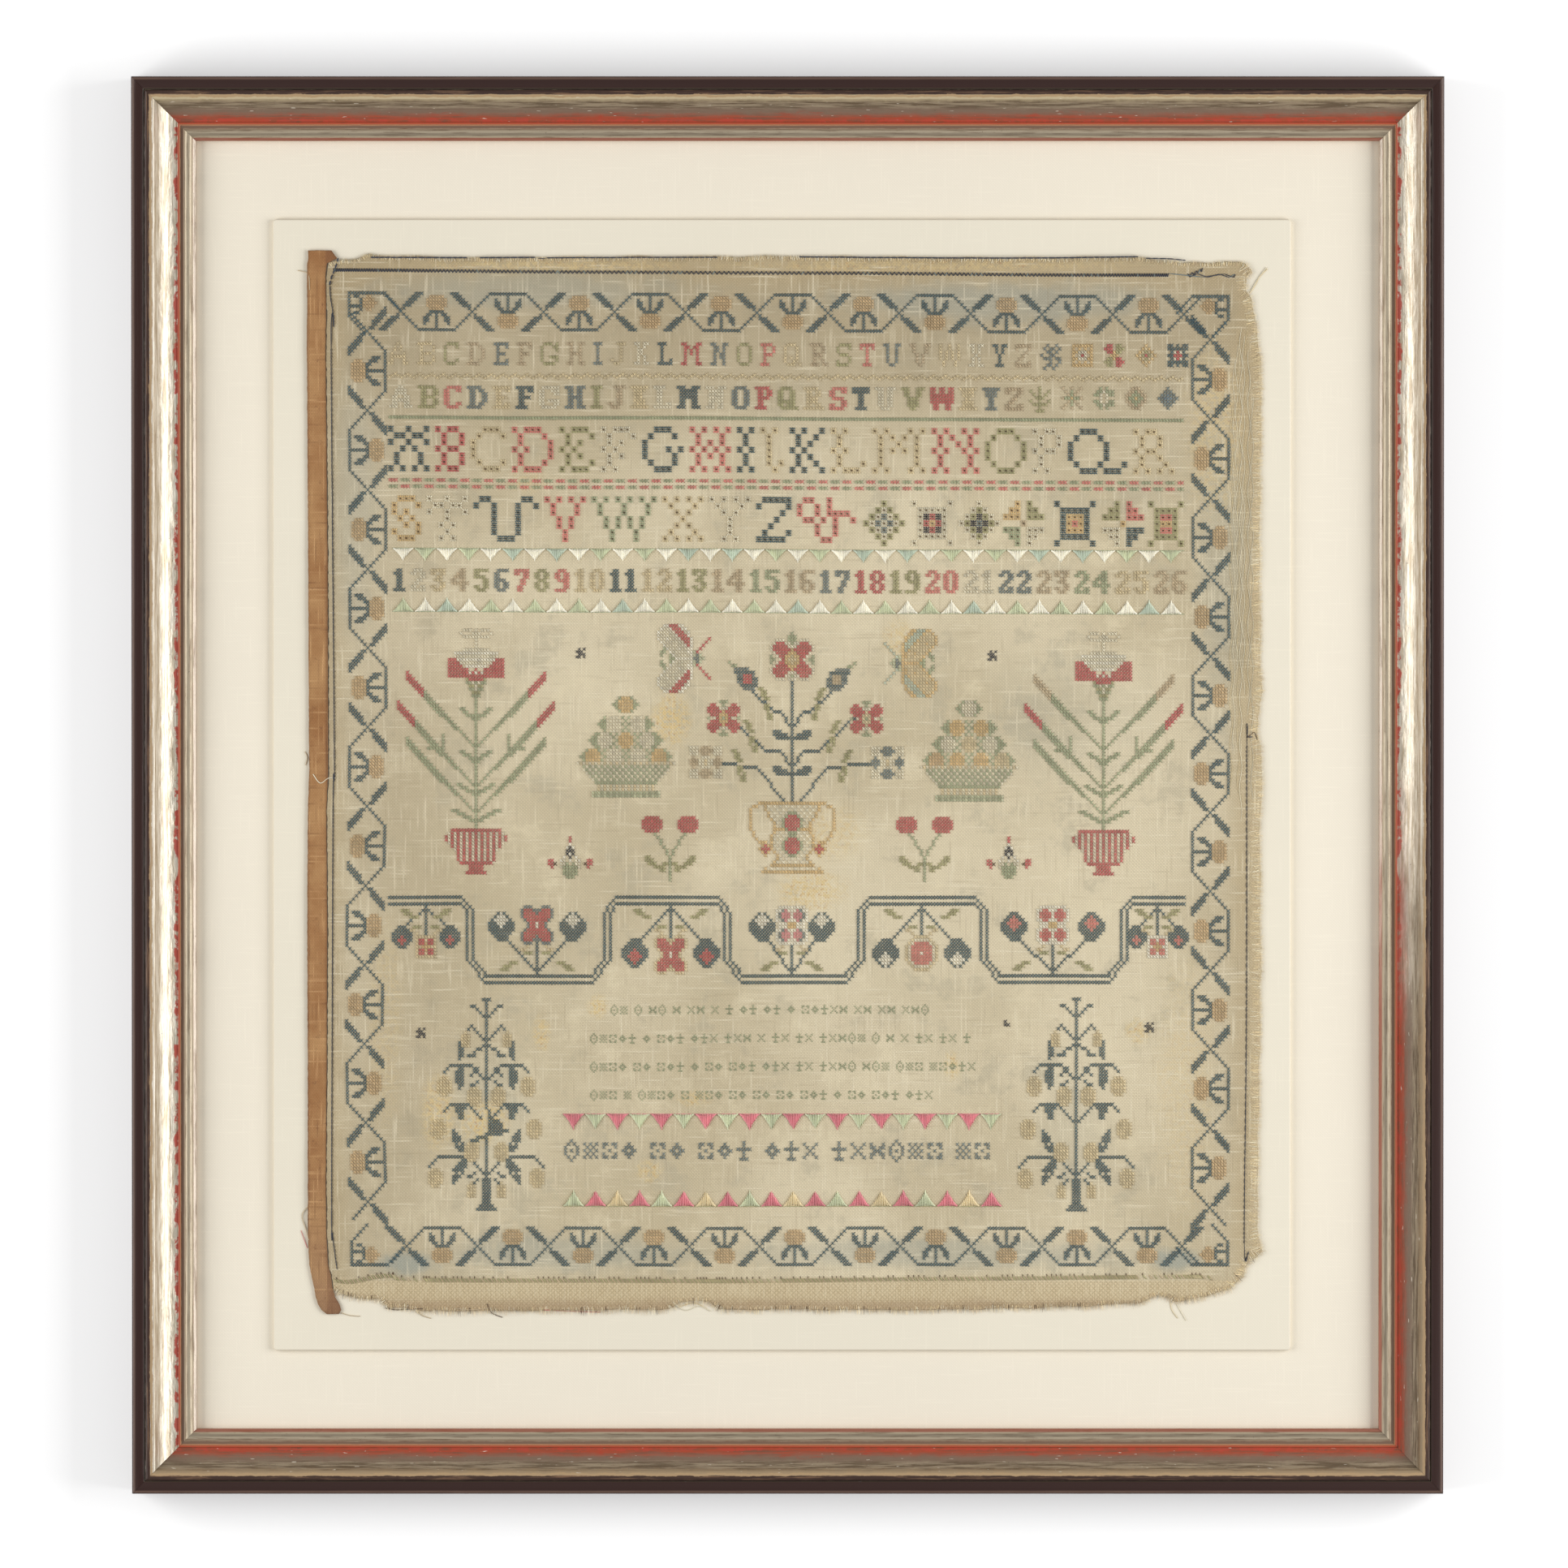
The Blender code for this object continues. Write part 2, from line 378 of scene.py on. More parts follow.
@dataclass(frozen=True)
class LinenFinish(Finish):
    """Fine new linen over a board."""

    shade: Colour = (1.0, 1.0, 1.0)

    def paint(self, shop: NodeShop, shader: bpy.types.NodeInputs) -> None:
        """Feeds the shader's sockets."""
        where = shop.place_mm()
        height, bright, dull = Weave(0.62, 0.6, 0.08).threads(shop, where)
        cloudy = shop.speckle(where, 0.012, 3.0)
        deep = tuple(c * 0.9 for c in self.shade)
        pale = tuple(min(1.0, c * 1.05) for c in self.shade)
        # painted shade: the weave's low and open places take the deeper colour
        colour = shop.blend(height * 0.6, deep, self.shade)
        colour = shop.blend(bright * 0.25, colour, pale)
        colour = shop.blend(dull * 0.15, colour, deep)
        colour = shop.blend(cloudy.ramp(0.35, 0.8) * 0.25, colour, self.shade)
        shop.feed(shader["Base Color"], colour)
        self.bump(shop, shader, height * 0.6 + bright * 0.1, 0.1 * MM, 0.35)


class Stain(NamedTuple):
    """A worn or stained place on the cloth, in millimetres."""

    x: float
    y: float
    half_width: float
    half_height: float
    strength: float


@dataclass(frozen=True)
class ClothFinish(Finish):
    """Old plain-woven ground with pale slubs, grey stains and worn straw places."""

    grey_stains: tuple[Stain, ...] = ()
    straw_stains: tuple[Stain, ...] = ()
    hem_height: float = 0.0

    def patches(self, shop: NodeShop, where: Wire, ragged: Wire, stains: Iterable[Stain]) -> Wire:
        """Masks of all these stains together.

        Args:
            shop: Adds the nodes.
            where: Coordinates in millimetres.
            ragged: Noise that breaks their edges.
            stains: The stains.

        Returns:
            The mask, from 0 to 1.
        """
        total: Operand = 0.0
        for stain in stains:
            away = shop.vector("SUBTRACT", where, (stain.x, stain.y, 0.0))
            sizes = (1 / stain.half_width, 1 / stain.half_height, 0.0)
            away = shop.vector("MULTIPLY", away, sizes)
            distance = shop.vector("LENGTH", away)
            distance = Wire(shop, distance.socket.node.outputs["Value"])
            mask = (distance + ragged * 1.1).ramp(1.25, 0.35) * stain.strength
            total = mask.most(total)
        return total

    def paint(self, shop: NodeShop, shader: bpy.types.NodeInputs) -> None:
        """Feeds the shader's sockets."""
        where = shop.place_mm()
        x, y, _ = shop.parts(where)
        height, pale, dull = Weave(0.66, 0.68).threads(shop, where)
        cloudy = shop.speckle(where, 0.010, 4.0)
        ragged = shop.speckle(where, 0.09, 4.0, 0.65) - 0.5
        colour = shop.blend(cloudy.ramp(0.32, 0.68), linear(202, 187, 154), linear(224, 210, 178))
        dark = linear(166, 149, 118)
        mottle = shop.speckle(where, 0.045, 5.0, 0.7)
        colour = shop.blend(mottle.ramp(0.48, 0.34) * 0.5, colour, linear(186, 176, 150))
        colour = shop.blend(mottle.ramp(0.52, 0.68) * 0.5, colour, linear(234, 220, 186))
        colour = shop.blend(((y + ragged * 30).ramp(112, 205)) * 0.6, colour, dark)
        colour = shop.blend((abs(x + ragged * 24) - x * 0.1).ramp(120, 195) * 0.32, colour, dark)
        rim = (200.0 - abs(x + ragged * 8)).least(224.0 - abs(y + ragged * 8))
        colour = shop.blend(rim.ramp(16, 4) * 0.5, colour, linear(186, 164, 124))
        grey = self.patches(shop, where, ragged, self.grey_stains)
        colour = shop.blend(grey, colour, linear(158, 164, 154))
        straw = self.patches(shop, where, ragged, self.straw_stains)
        torn = straw * shop.speckle(where, 0.5, 3.0, 0.7).ramp(0.38, 0.6)
        colour = shop.blend(torn, colour, linear(222, 196, 140))
        rusty = straw * shop.speckle(where, 0.8, 2.0).ramp(0.58, 0.72)
        colour = shop.blend(rusty * 0.6, colour, linear(176, 118, 66))
        colour = shop.blend(pale * 0.5, colour, linear(238, 226, 196))
        colour = shop.blend(dull * 0.2, colour, linear(156, 138, 108))
        below = y.ramp(self.hem_height + 0.6, self.hem_height - 0.6)
        coarse, _, _ = Weave(1.05, 0.95, 0.05).threads(shop, where)
        tan = shop.blend(coarse, linear(150, 128, 92), linear(222, 202, 162))
        fibres = shop.speckle(shop.join(x * 1.4, y * 0.16, 4.0), 1.0, 3.0, 0.7)
        tan = shop.blend(fibres.ramp(0.42, 0.66) * 0.6, tan, linear(226, 210, 174))
        soiled = (y + ragged * 5).ramp(self.hem_height - 6.0, self.hem_height - 11.0)
        tan = shop.blend(soiled * 0.55, tan, linear(140, 104, 74))
        colour = shop.blend(below * 0.75, colour, tan)
        # painted shade: the weave's low and open places between threads are darkened
        shade = height.ramp(0.0, 0.9) * 0.3 + 0.76
        colour = shop.shaded(colour, shade)
        shop.feed(shader["Base Color"], colour)
        shader["Sheen Weight"].default_value = 0.12
        self.bump(shop, shader, height * (1 - below) + coarse * below + pale * 0.3, 0.3 * MM, 0.7)


@dataclass(frozen=True)
class TapeFinish(Finish):
    """Tan-brown woven tape, soiled towards its edges and its foot."""

    def paint(self, shop: NodeShop, shader: bpy.types.NodeInputs) -> None:
        """Feeds the shader's sockets."""
        where = shop.place_mm()
        x, y, _ = shop.parts(where)
        height, pale, dull = Weave(0.55, 0.75, 0.06).threads(shop, where)
        cloudy = shop.speckle(where, 0.05, 4.0, 0.6)
        colour = shop.blend(cloudy.ramp(0.3, 0.7), linear(158, 110, 66), linear(186, 142, 94))
        grey_foot = (y + cloudy * 60).ramp(-120, -210)
        colour = shop.blend(grey_foot * 0.6, colour, linear(160, 128, 100))
        colour = shop.blend(pale * 0.5, colour, linear(222, 176, 124))
        colour = shop.blend(dull * 0.5, colour, linear(118, 78, 48))
        soil = shop.speckle(where, 0.35, 3.0, 0.7)
        colour = shop.blend(soil.ramp(0.6, 0.75) * 0.5, colour, linear(108, 68, 46))
        edge = abs(x + 201.0).ramp(2.9, 4.3)
        colour = shop.blend(edge * 0.45, colour, linear(112, 70, 48))
        # painted shade: the weave's low places between threads are darkened
        shade = height * 0.3 + 0.78
        colour = shop.shaded(colour, shade)
        shop.feed(shader["Base Color"], colour)
        self.bump(shop, shader, height + pale * 0.4, 0.25 * MM, 0.7)


@dataclass(frozen=True)
class ThreadFinish(Finish):
    """Embroidery thread in the colour that each stitch carries."""

    fuzz: float = 0.2
    hole: Colour = (0.22, 0.16, 0.1)  # painted shade: what is left of the thread's colour in the shade down in a hole

    def paint(self, shop: NodeShop, shader: bpy.types.NodeInputs) -> None:
        """Feeds the shader's sockets."""
        where = shop.place_mm()
        colour = shop.attribute("thread_colour", "Color")
        fade = shop.speckle(where, 0.06, 3.0, 0.6)
        fibre = shop.speckle(where, 4.5, 2.0, 0.6)
        shade = (fade * 0.5 + fibre * 0.5 + 0.52) * shop.attribute("tone", "Fac")
        colour = shop.shaded(colour, shade)
        # painted shade: where the hole attribute is set, needle holes and eyelet holes are darkened
        colour = shop.blend(shop.attribute("hole", "Fac"), colour, self.hole, "MULTIPLY")
        shop.feed(shader["Base Color"], colour)
        shader["Sheen Weight"].default_value = self.fuzz
        self.bump(shop, shader, fibre, 0.12 * MM, 0.6)


class Band(NamedTuple):
    """A strip of the moulding, by its distance from the frame's outer edge in millimetres."""

    start: float
    end: float
    shade: tuple[int, int, int]
    wear: float  # how far noise moves its edges


@dataclass(frozen=True)
class MouldingFinish(Finish):
    """Dark paint outside, worn gesso edge, tarnished silver leaf over red bole, and bead."""

    half_width: float = 280.0
    half_height: float = 302.5
    bare_wood_height: float = 14.0
    bands: tuple[Band, ...] = (
        Band(-1.0, 5.2, (52, 30, 25), 0.0),
        Band(5.2, 5.7, (36, 26, 24), 0.0),
        Band(5.7, 7.8, (62, 42, 34), 0.25),
        Band(7.8, 8.9, (176, 148, 112), 0.9),
        Band(19.5, 20.3, (182, 84, 56), 0.4),
        Band(20.3, 20.8, (188, 140, 104), 0.15),
        Band(20.8, 22.0, (122, 98, 80), 0.1),
        Band(22.0, 26.0, (190, 176, 152), 0.25),
        Band(26.0, 28.5, (206, 192, 176), 0.15),
    )

    def paint(self, shop: NodeShop, shader: bpy.types.NodeInputs) -> None:
        """Feeds the shader's sockets."""
        where = shop.place_mm()
        x, y, z = shop.parts(where)
        from_side = self.half_width - abs(x)
        from_end = self.half_height - abs(y)
        upright = from_side < from_end
        inset = from_side.least(from_end)
        along = y * upright + x * (1 - upright)
        streak_at = shop.join(along * 0.045, inset * 1.1, upright * 40)
        streak = shop.speckle(streak_at, 1.0, 5.0, 0.7)
        blotch = shop.speckle(shop.join(along * 0.03, inset * 0.12, upright * 9), 1.0, 4.0, 0.6)
        fleck = shop.speckle(where, 0.9, 3.0, 0.7)
        ragged = shop.speckle(shop.join(along * 0.16, inset * 0.2, 3.0), 1.0, 4.0, 0.65) - 0.5

        # dull leaf on the level rails and on the right rail's lower part: on the right rail
        # tarnish; on the level rails tarnish and painted shade, darker and less metal as the side
        # lights leave them dark
        level = 1 - upright
        low_right = upright * (x > 0) * (y + (blotch - 0.5) * 160).ramp(30, -120)
        worn = level.most(low_right)
        silver = shop.blend(streak.ramp(0.36, 0.62), linear(188, 172, 146), linear(234, 226, 210))
        silver = shop.blend(blotch.ramp(0.55, 0.75) * 0.35, silver, linear(176, 156, 132))
        mottled = shop.blend(streak.ramp(0.4, 0.6), linear(108, 92, 72), linear(164, 148, 124))
        depth = inset + ragged * 2.2
        rim = shop.blend(level * (y > 0), linear(160, 138, 108), linear(196, 180, 146))
        dull = shop.blend(depth.ramp(9.2, 11.4), rim, mottled)
        dull = shop.blend(depth.ramp(12.4, 14.6), dull, linear(132, 110, 92))
        reddish = shop.blend(streak.ramp(0.36, 0.56), linear(130, 80, 60), linear(170, 74, 48))
        dull = shop.blend((depth + blotch * 2).ramp(15.5, 19.0), dull, reddish)
        rubbed_red = shop.speckle(shop.join(along * 0.07, inset * 0.3, 21.0), 1.0, 4.0, 0.65)
        rubbed_red = rubbed_red.ramp(0.57, 0.66) * inset.ramp(13.5, 17.0)
        dull = shop.blend(rubbed_red * 0.6, dull, linear(178, 66, 44))
        colour = shop.blend(worn, silver, dull)
        red = (inset + ragged * 5.0).ramp(17.9, 18.7) * ragged.ramp(-0.05, 0.04)
        colour = shop.blend(red * (0.92 - worn * 0.34), colour, linear(180, 60, 44))
        scratch = shop.speckle(shop.join(along * 0.22, inset * 1.6, 12.0), 1.0, 2.0, 0.5)
        colour = shop.blend(scratch.ramp(0.7, 0.74) * worn * 0.8, colour, linear(222, 212, 194))
        leaf = inset.ramp(9.4, 9.9) * inset.ramp(19.6, 19.2)

        for band in self.bands:
            edge = inset + ragged * (band.wear * 2.4)
            mask = edge.ramp(band.start - 0.15, band.start + 0.15)
            mask = mask * edge.ramp(band.end + 0.15, band.end - 0.15)
            colour = shop.blend(mask, colour, linear(*band.shade))
        # the rounded outer edge is lighter: wear, and a painted highlight on the rounding
        outer_edge_wear_and_highlight = inset.ramp(0.2, 0.6) * inset.ramp(1.7, 1.0)
        colour = shop.blend(outer_edge_wear_and_highlight * streak * 0.7, colour, linear(148, 120, 104))
        rubbed = inset.ramp(5.9, 6.4) * inset.ramp(8.4, 7.8)
        colour = shop.blend(rubbed * streak.ramp(0.5, 0.66) * 0.6, colour, linear(150, 116, 88))
        bead_wear = inset.ramp(22.2, 22.6) * streak.ramp(0.5, 0.62)
        colour = shop.blend(bead_wear * 0.7, colour, linear(128, 108, 88))
        # painted shade: a darker band on the falling side of the bead, on the dull rails
        bead_side_shade = inset.ramp(23.4, 24.4) * inset.ramp(25.6, 24.8) * worn
        colour = shop.blend(bead_side_shade * 0.6, colour, linear(112, 100, 84))
        sight_red = inset.ramp(25.8, 26.2) * worn * 0.85
        colour = shop.blend(sight_red, colour, linear(158, 86, 62))
        dirt = inset.ramp(8.4, 12.0) * fleck.ramp(0.66, 0.74)
        colour = shop.blend(dirt * 0.75, colour, linear(92, 74, 62))
        bare = z.ramp(self.bare_wood_height, self.bare_wood_height - 0.4) * inset.ramp(0.3, 0.5)
        bare = bare.most(z.ramp(0.6, 0.2))
        grain = shop.speckle(shop.join(along * 0.01, inset * 0.9, z * 0.9), 1.0, 4.0, 0.6)
        wood = shop.blend(grain, linear(168, 128, 84), linear(206, 170, 122))
        colour = shop.blend(bare, colour, wood)
        shop.feed(shader["Base Color"], colour)

        metal = leaf * (0.75 - worn * 0.5) * (1 - red)
        bead_metal = inset.ramp(22.2, 22.6) * 0.5
        metal = metal.most(bead_metal) * (1 - bare)
        shop.feed(shader["Metallic"], metal * 0.9)
        rough = 0.42 + worn * 0.16 + bare * 0.3
        shop.feed(shader["Roughness"], rough - inset.ramp(5.2, 4.8) * 0.06)
        shader["Specular IOR Level"].default_value = 0.35
        ripple = shop.speckle(shop.join(along * 0.14, inset * 0.3, 5.0), 1.0, 3.0, 0.5)
        self.bump(shop, shader, ripple * 0.8 * leaf + streak * 0.16 + fleck * 0.06, 0.9 * MM, 0.6)


@dataclass(frozen=True)
class FloorFinish(Finish):
    """Plain pale studio floor."""

    shade: Colour = (0.9, 0.9, 0.9)

    def paint(self, shop: NodeShop, shader: bpy.types.NodeInputs) -> None:
        """Feeds the shader's sockets."""
        shader["Base Color"].default_value = (*self.shade, 1.0)
        shader["Specular IOR Level"].default_value = 0.0
        shader["Emission Color"].default_value = (*self.shade, 1.0)
        shader["Emission Strength"].default_value = 0.3


# Meshes and registration

@dataclass
class Register:
    """Hands finished pieces to the frame and reports them."""

    triangles: int = 0

    def enter(self, piece: bpy.types.Object, slot: Slot, *stands_for: str) -> bpy.types.Object:
        """Gives a piece its body and hides the nodes that it replaces.

        Args:
            piece: The piece.
            slot: Its slot in the record. Not used.
            stands_for: Nodes of the frame file that it hides.

        Returns:
            The same piece.
        """
        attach(piece, "root")
        for node in stands_for:
            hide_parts(node)
        piece.data.calc_loop_triangles()
        count = len(piece.data.loop_triangles)
        self.triangles += count
        LOG.info("%s: %d triangles", piece.name, count)
        return piece


def new_object(name: str, mesh: bpy.types.Mesh, material: bpy.types.Material) -> bpy.types.Object:
    """Links an object of this mesh and material.

    Args:
        name: The name of both.
        mesh: The mesh.
        material: Its only material.

    Returns:
        The object.
    """
    mesh.name = name
    mesh.materials.clear()
    mesh.materials.append(material)
    piece = bpy.data.objects.new(name, mesh)
    bpy.context.scene.collection.objects.link(piece)
    return piece


def planar_map(mesh: bpy.types.Mesh) -> None:
    """Maps a flat piece of many small threads straight down, over its own extent."""
    count = len(mesh.loops)
    points = [v.co for v in mesh.vertices]
    low_x, low_y = min(p.x for p in points), min(p.y for p in points)
    span = max(max(p.x for p in points) - low_x, max(p.y for p in points) - low_y)
    flat = []
    for index in range(count):
        point = points[mesh.loops[index].vertex_index]
        flat += [(point.x - low_x) / span, (point.y - low_y) / span]
    layer = mesh.uv_layers.new(name=BAKE_MAP)
    layer.data.foreach_set("uv", flat)


class StitchPoint(NamedTuple):
    """Where one cross stitch sits, in metres, with its size and colour."""

    x: float
    y: float
    width: float
    height: float
    thread: Thread
    tone: float
    turn: float


class StrandPoint(NamedTuple):
    """A point along a single thread, in metres, with the thread's radius there."""

    x: float
    y: float
    z: float
    radius: float


@dataclass(frozen=True)
class Strand:
    """One thread through its points."""

    points: tuple[StrandPoint, ...]
    thread: Thread
    tone: float = 1.0
    hole: float = 0.0  # 1 where it is darkened in full with painted shade, as in a hole


class TreeInput(NamedTuple):
    """A named input of a Geometry Nodes tree."""

    name: str
    kind: str
    value: object


class GeometryTree:
    """A Geometry Nodes tree with named inputs, and what runs it."""

    def __init__(self, name: str, inputs: Sequence[TreeInput]) -> None:
        """Makes the empty tree.

        Args:
            name: The tree's name.
            inputs: Its inputs after the geometry.
        """
        self.tree = bpy.data.node_groups.new(name, "GeometryNodeTree")
        face = self.tree.interface
        face.new_socket("Geometry", in_out="INPUT", socket_type="NodeSocketGeometry")
        self.identifiers = {}
        for item in inputs:
            socket = face.new_socket(item.name, in_out="INPUT", socket_type=item.kind)
            if item.value is not None:
                socket.default_value = item.value
            self.identifiers[item.name] = socket.identifier
        face.new_socket("Geometry", in_out="OUTPUT", socket_type="NodeSocketGeometry")
        self.shop = NodeShop(self.tree)
        self.inlet = self.tree.nodes.new("NodeGroupInput")
        self.build()

    def given(self, name: str) -> Wire:
        """The wire of a named input."""
        return Wire(self.shop, self.inlet.outputs[name])

    def build(self) -> None:
        """Adds the tree's nodes."""
        raise NotImplementedError

    def end(self, geometry: Wire) -> None:
        """Closes the tree with the realised, dressed geometry."""
        smooth = self.shop.add("GeometryNodeSetShadeSmooth", None, {"Geometry": geometry})
        real = self.shop.add("GeometryNodeRealizeInstances", None, {"Geometry": smooth})
        sockets = {"Geometry": real, "Material": self.given("Material")}
        dressed = self.shop.add("GeometryNodeSetMaterial", None, sockets)
        outlet = self.tree.nodes.new("NodeGroupOutput")
        self.tree.links.new(dressed.socket, outlet.inputs["Geometry"])

    def named(self, name: str, kind: str) -> Wire:
        """Reads an attribute of the geometry."""
        settings = {"data_type": kind}
        return self.shop.add("GeometryNodeInputNamedAttribute", settings, {"Name": name})

    def run(self, source: bpy.types.Mesh, values: dict) -> bpy.types.Mesh:
        """Runs the tree on a mesh.

        Args:
            source: The mesh that goes in.
            values: Input values by name.

        Returns:
            The mesh that comes out, with no modifier.
        """
        holder = bpy.data.objects.new("holder", source)
        bpy.context.scene.collection.objects.link(holder)
        modifier = holder.modifiers.new("tree", "NODES")
        modifier.node_group = self.tree
        for name, value in values.items():
            modifier[self.identifiers[name]] = value
        graph = bpy.context.evaluated_depsgraph_get()
        result = bpy.data.meshes.new_from_object(
            holder.evaluated_get(graph), preserve_all_data_layers=True, depsgraph=graph
        )
        bpy.data.objects.remove(holder)
        bpy.data.meshes.remove(source)
        return result


class CrossTree(GeometryTree):
    """A cross stitch at every point: two short threads, the upper one lying over the lower."""

    bulge = 1.35  # how far the thread's inner points move out along it
    fullness = 1.5  # brings the inner points' weight of two thirds up to one
    dip = 0.1  # how far the ends go down into the cloth
    lap = 0.16  # how far the upper thread lies over the lower
    hole_depth = 0.62  # how dark the painted shade of a needle hole is

    def leg(self) -> Wire:
        """One thread of the cross, in a unit square.

        Returns:
            Its mesh, from corner to corner.
        """
        shop = self.shop
        ends = {"Start": (-0.5, -0.5, 0.0), "End": (0.5, 0.5, 0.0)}
        line = shop.add("GeometryNodeCurvePrimitiveLine", None, ends)
        line = shop.add("GeometryNodeResampleCurve", None, {"Curve": line, "Count": 4})
        place = shop.add("GeometryNodeSplineParameter", None, None, "Factor")
        inner = 1 - abs(place * 2.0 - 1.0)
        spread = inner * self.bulge + 1.0
        position = shop.add("GeometryNodeInputPosition")
        wide = shop.vector("SCALE", position)
        shop.feed(wide.socket.node.inputs["Scale"], spread)
        rise = inner * self.given("Rise") * self.fullness - self.dip
        sockets = {"Geometry": line, "Position": wide, "Offset": shop.join(0.0, 0.0, rise)}
        line = shop.add("GeometryNodeSetPosition", None, sockets)
        ring = shop.add("GeometryNodeCurvePrimitiveCircle", None, {"Resolution": 3, "Radius": 1.0})
        radius = inner * self.fullness * self.given("Thread Radius")
        sockets = {"Curve": line, "Profile Curve": ring, "Scale": radius}
        tube = shop.add("GeometryNodeCurveToMesh", None, sockets)
        return shop.add("GeometryNodeMergeByDistance", None, {"Geometry": tube, "Distance": 1e-4})

    def hole(self, up: float) -> Wire:
        """A small dark disc of painted shade for the hole that the needle leaves at a right-hand
        corner.

        Args:
            up: The corner's height in the unit square.

        Returns:
            Its mesh.
        """
        shop = self.shop
        circle = shop.add("GeometryNodeMeshCircle", {"fill_type": "NGON"},
                          {"Vertices": 4, "Radius": self.given("Hole")})
        place = {"Geometry": circle, "Translation": (0.5, up, 0.1)}
        moved = shop.add("GeometryNodeTransform", None, place)
        mark = {"Geometry": moved, "Name": "hole", "Value": self.hole_depth}
        return shop.add("GeometryNodeStoreNamedAttribute", {"data_type": "FLOAT"}, mark)

    def build(self) -> None:
        """Adds the tree's nodes."""
        shop = self.shop
        lower = self.leg()
        turned = {"Geometry": lower, "Rotation": (0.0, 0.0, math.pi / 2)}
        turned["Translation"] = (0.0, 0.0, self.lap)
        upper = shop.add("GeometryNodeTransform", None, turned)
        cross = shop.add("GeometryNodeJoinGeometry")
        for part in (lower, upper, self.hole(0.5), self.hole(-0.5)):
            self.tree.links.new(part.socket, cross.socket.node.inputs["Geometry"])
        euler = shop.join(0.0, 0.0, self.named("turn", "FLOAT"))
        sockets = {
            "Points": self.given("Geometry"),
            "Instance": cross,
            "Rotation": shop.add("FunctionNodeEulerToRotation", None, {"Euler": euler}),
            "Scale": self.named("size", "FLOAT_VECTOR"),
        }
        self.end(shop.add("GeometryNodeInstanceOnPoints", None, sockets))


class StrandTree(GeometryTree):
    """Every edge chain becomes a thread of its own thickness."""

    def build(self) -> None:
        """Adds the tree's nodes."""
        shop = self.shop
        curve = shop.add("GeometryNodeMeshToCurve", None, {"Mesh": self.given("Geometry")})
        sockets = {"Resolution": self.given("Sides"), "Radius": 1.0}
        ring = shop.add("GeometryNodeCurvePrimitiveCircle", None, sockets)
        sockets = {"Curve": curve, "Profile Curve": ring, "Fill Caps": True}
        sockets["Scale"] = self.named("radius", "FLOAT")
        self.end(shop.add("GeometryNodeCurveToMesh", None, sockets))


class Needle:
    """Turns lists of stitches and strands into pieces."""

    def __init__(self) -> None:
        """Builds the two trees once."""
        material = TreeInput("Material", "NodeSocketMaterial", None)
        size = TreeInput("Thread Radius", "NodeSocketFloat", 0.235)
        hole = TreeInput("Hole", "NodeSocketFloat", 0.16)
        rise = TreeInput("Rise", "NodeSocketFloat", 0.2)
        self.cross_tree = CrossTree("cross_stitches", (size, hole, rise, material))
        sides = TreeInput("Sides", "NodeSocketInt", 3)
        self.strand_tree = StrandTree("threads", (sides, material))

    def crosses(self, stitches: Sequence[StitchPoint], surface: "Surface",
                material: bpy.types.Material) -> bpy.types.Mesh:
        """Makes all these cross stitches.

        Args:
            stitches: Where they sit.
            surface: What they lie on.
            material: Their thread.

        Returns:
            One mesh of them all.
        """
        mesh = bpy.data.meshes.new("stitches")
        mesh.from_pydata([(s.x, s.y, surface.height(s.x, s.y)) for s in stitches], [], [])
        self.mark(mesh, "thread_colour", [(*s.thread.colour, 1.0) for s in stitches])
        self.mark(mesh, "tone", [s.tone for s in stitches])
        self.mark(mesh, "turn", [s.turn for s in stitches])
        self.mark(mesh, "size", [(s.width, s.height, s.width) for s in stitches])
        return self.cross_tree.run(mesh, {"Material": material})

    def strands(self, strands: Sequence[Strand], material: bpy.types.Material,
                sides: int = 3) -> bpy.types.Mesh:
        """Makes all these single threads.

        Args:
            strands: The threads.
            material: Their finish.
            sides: Sides of a thread's section.

        Returns:
            One mesh of them all.
        """
        points, edges, colours, tones, radii, holes = [], [], [], [], [], []
        for strand in strands:
            first = len(points)
            points += [(p.x, p.y, p.z) for p in strand.points]
            radii += [p.radius for p in strand.points]
            count = len(strand.points)
            edges += [(first + i, first + i + 1) for i in range(count - 1)]
            colours += [(*strand.thread.colour, 1.0)] * count
            tones += [strand.tone] * count
            holes += [strand.hole] * count
        mesh = bpy.data.meshes.new("threads")
        mesh.from_pydata(points, edges, [])
        self.mark(mesh, "thread_colour", colours)
        self.mark(mesh, "tone", tones)
        self.mark(mesh, "radius", radii)
        self.mark(mesh, "hole", holes)
        return self.strand_tree.run(mesh, {"Sides": sides, "Material": material})

    def mark(self, mesh: bpy.types.Mesh, name: str, values: Sequence) -> None:
        """Stores a value at each point.

        Args:
            mesh: The mesh.
            name: The attribute's name.
            values: A number, vector or colour for each point.
        """
        kinds = {1: ("FLOAT", "value"), 3: ("FLOAT_VECTOR", "vector"), 4: ("FLOAT_COLOR", "color")}
        width = len(values[0]) if isinstance(values[0], tuple) else 1
        kind, key = kinds[width]
        flat = values if width == 1 else [number for value in values for number in value]
        mesh.attributes.new(name, kind, "POINT").data.foreach_set(key, flat)

    def gather(self, name: str, meshes: Sequence[bpy.types.Mesh],
               material: bpy.types.Material) -> bpy.types.Object:
        """Joins meshes into one mapped piece.

        Args:
            name: The piece's name.
            meshes: Its parts.
            material: Its finish.

        Returns:
            The piece.
        """
        objects = [new_object(name, mesh, material) for mesh in meshes]
        if len(objects) > 1:
            with bpy.context.temp_override(active_object=objects[0], object=objects[0],
                                           selected_objects=objects,
                                           selected_editable_objects=objects):
                bpy.ops.object.join()
        piece = objects[0]
        piece.name = piece.data.name = name
        planar_map(piece.data)
        return piece


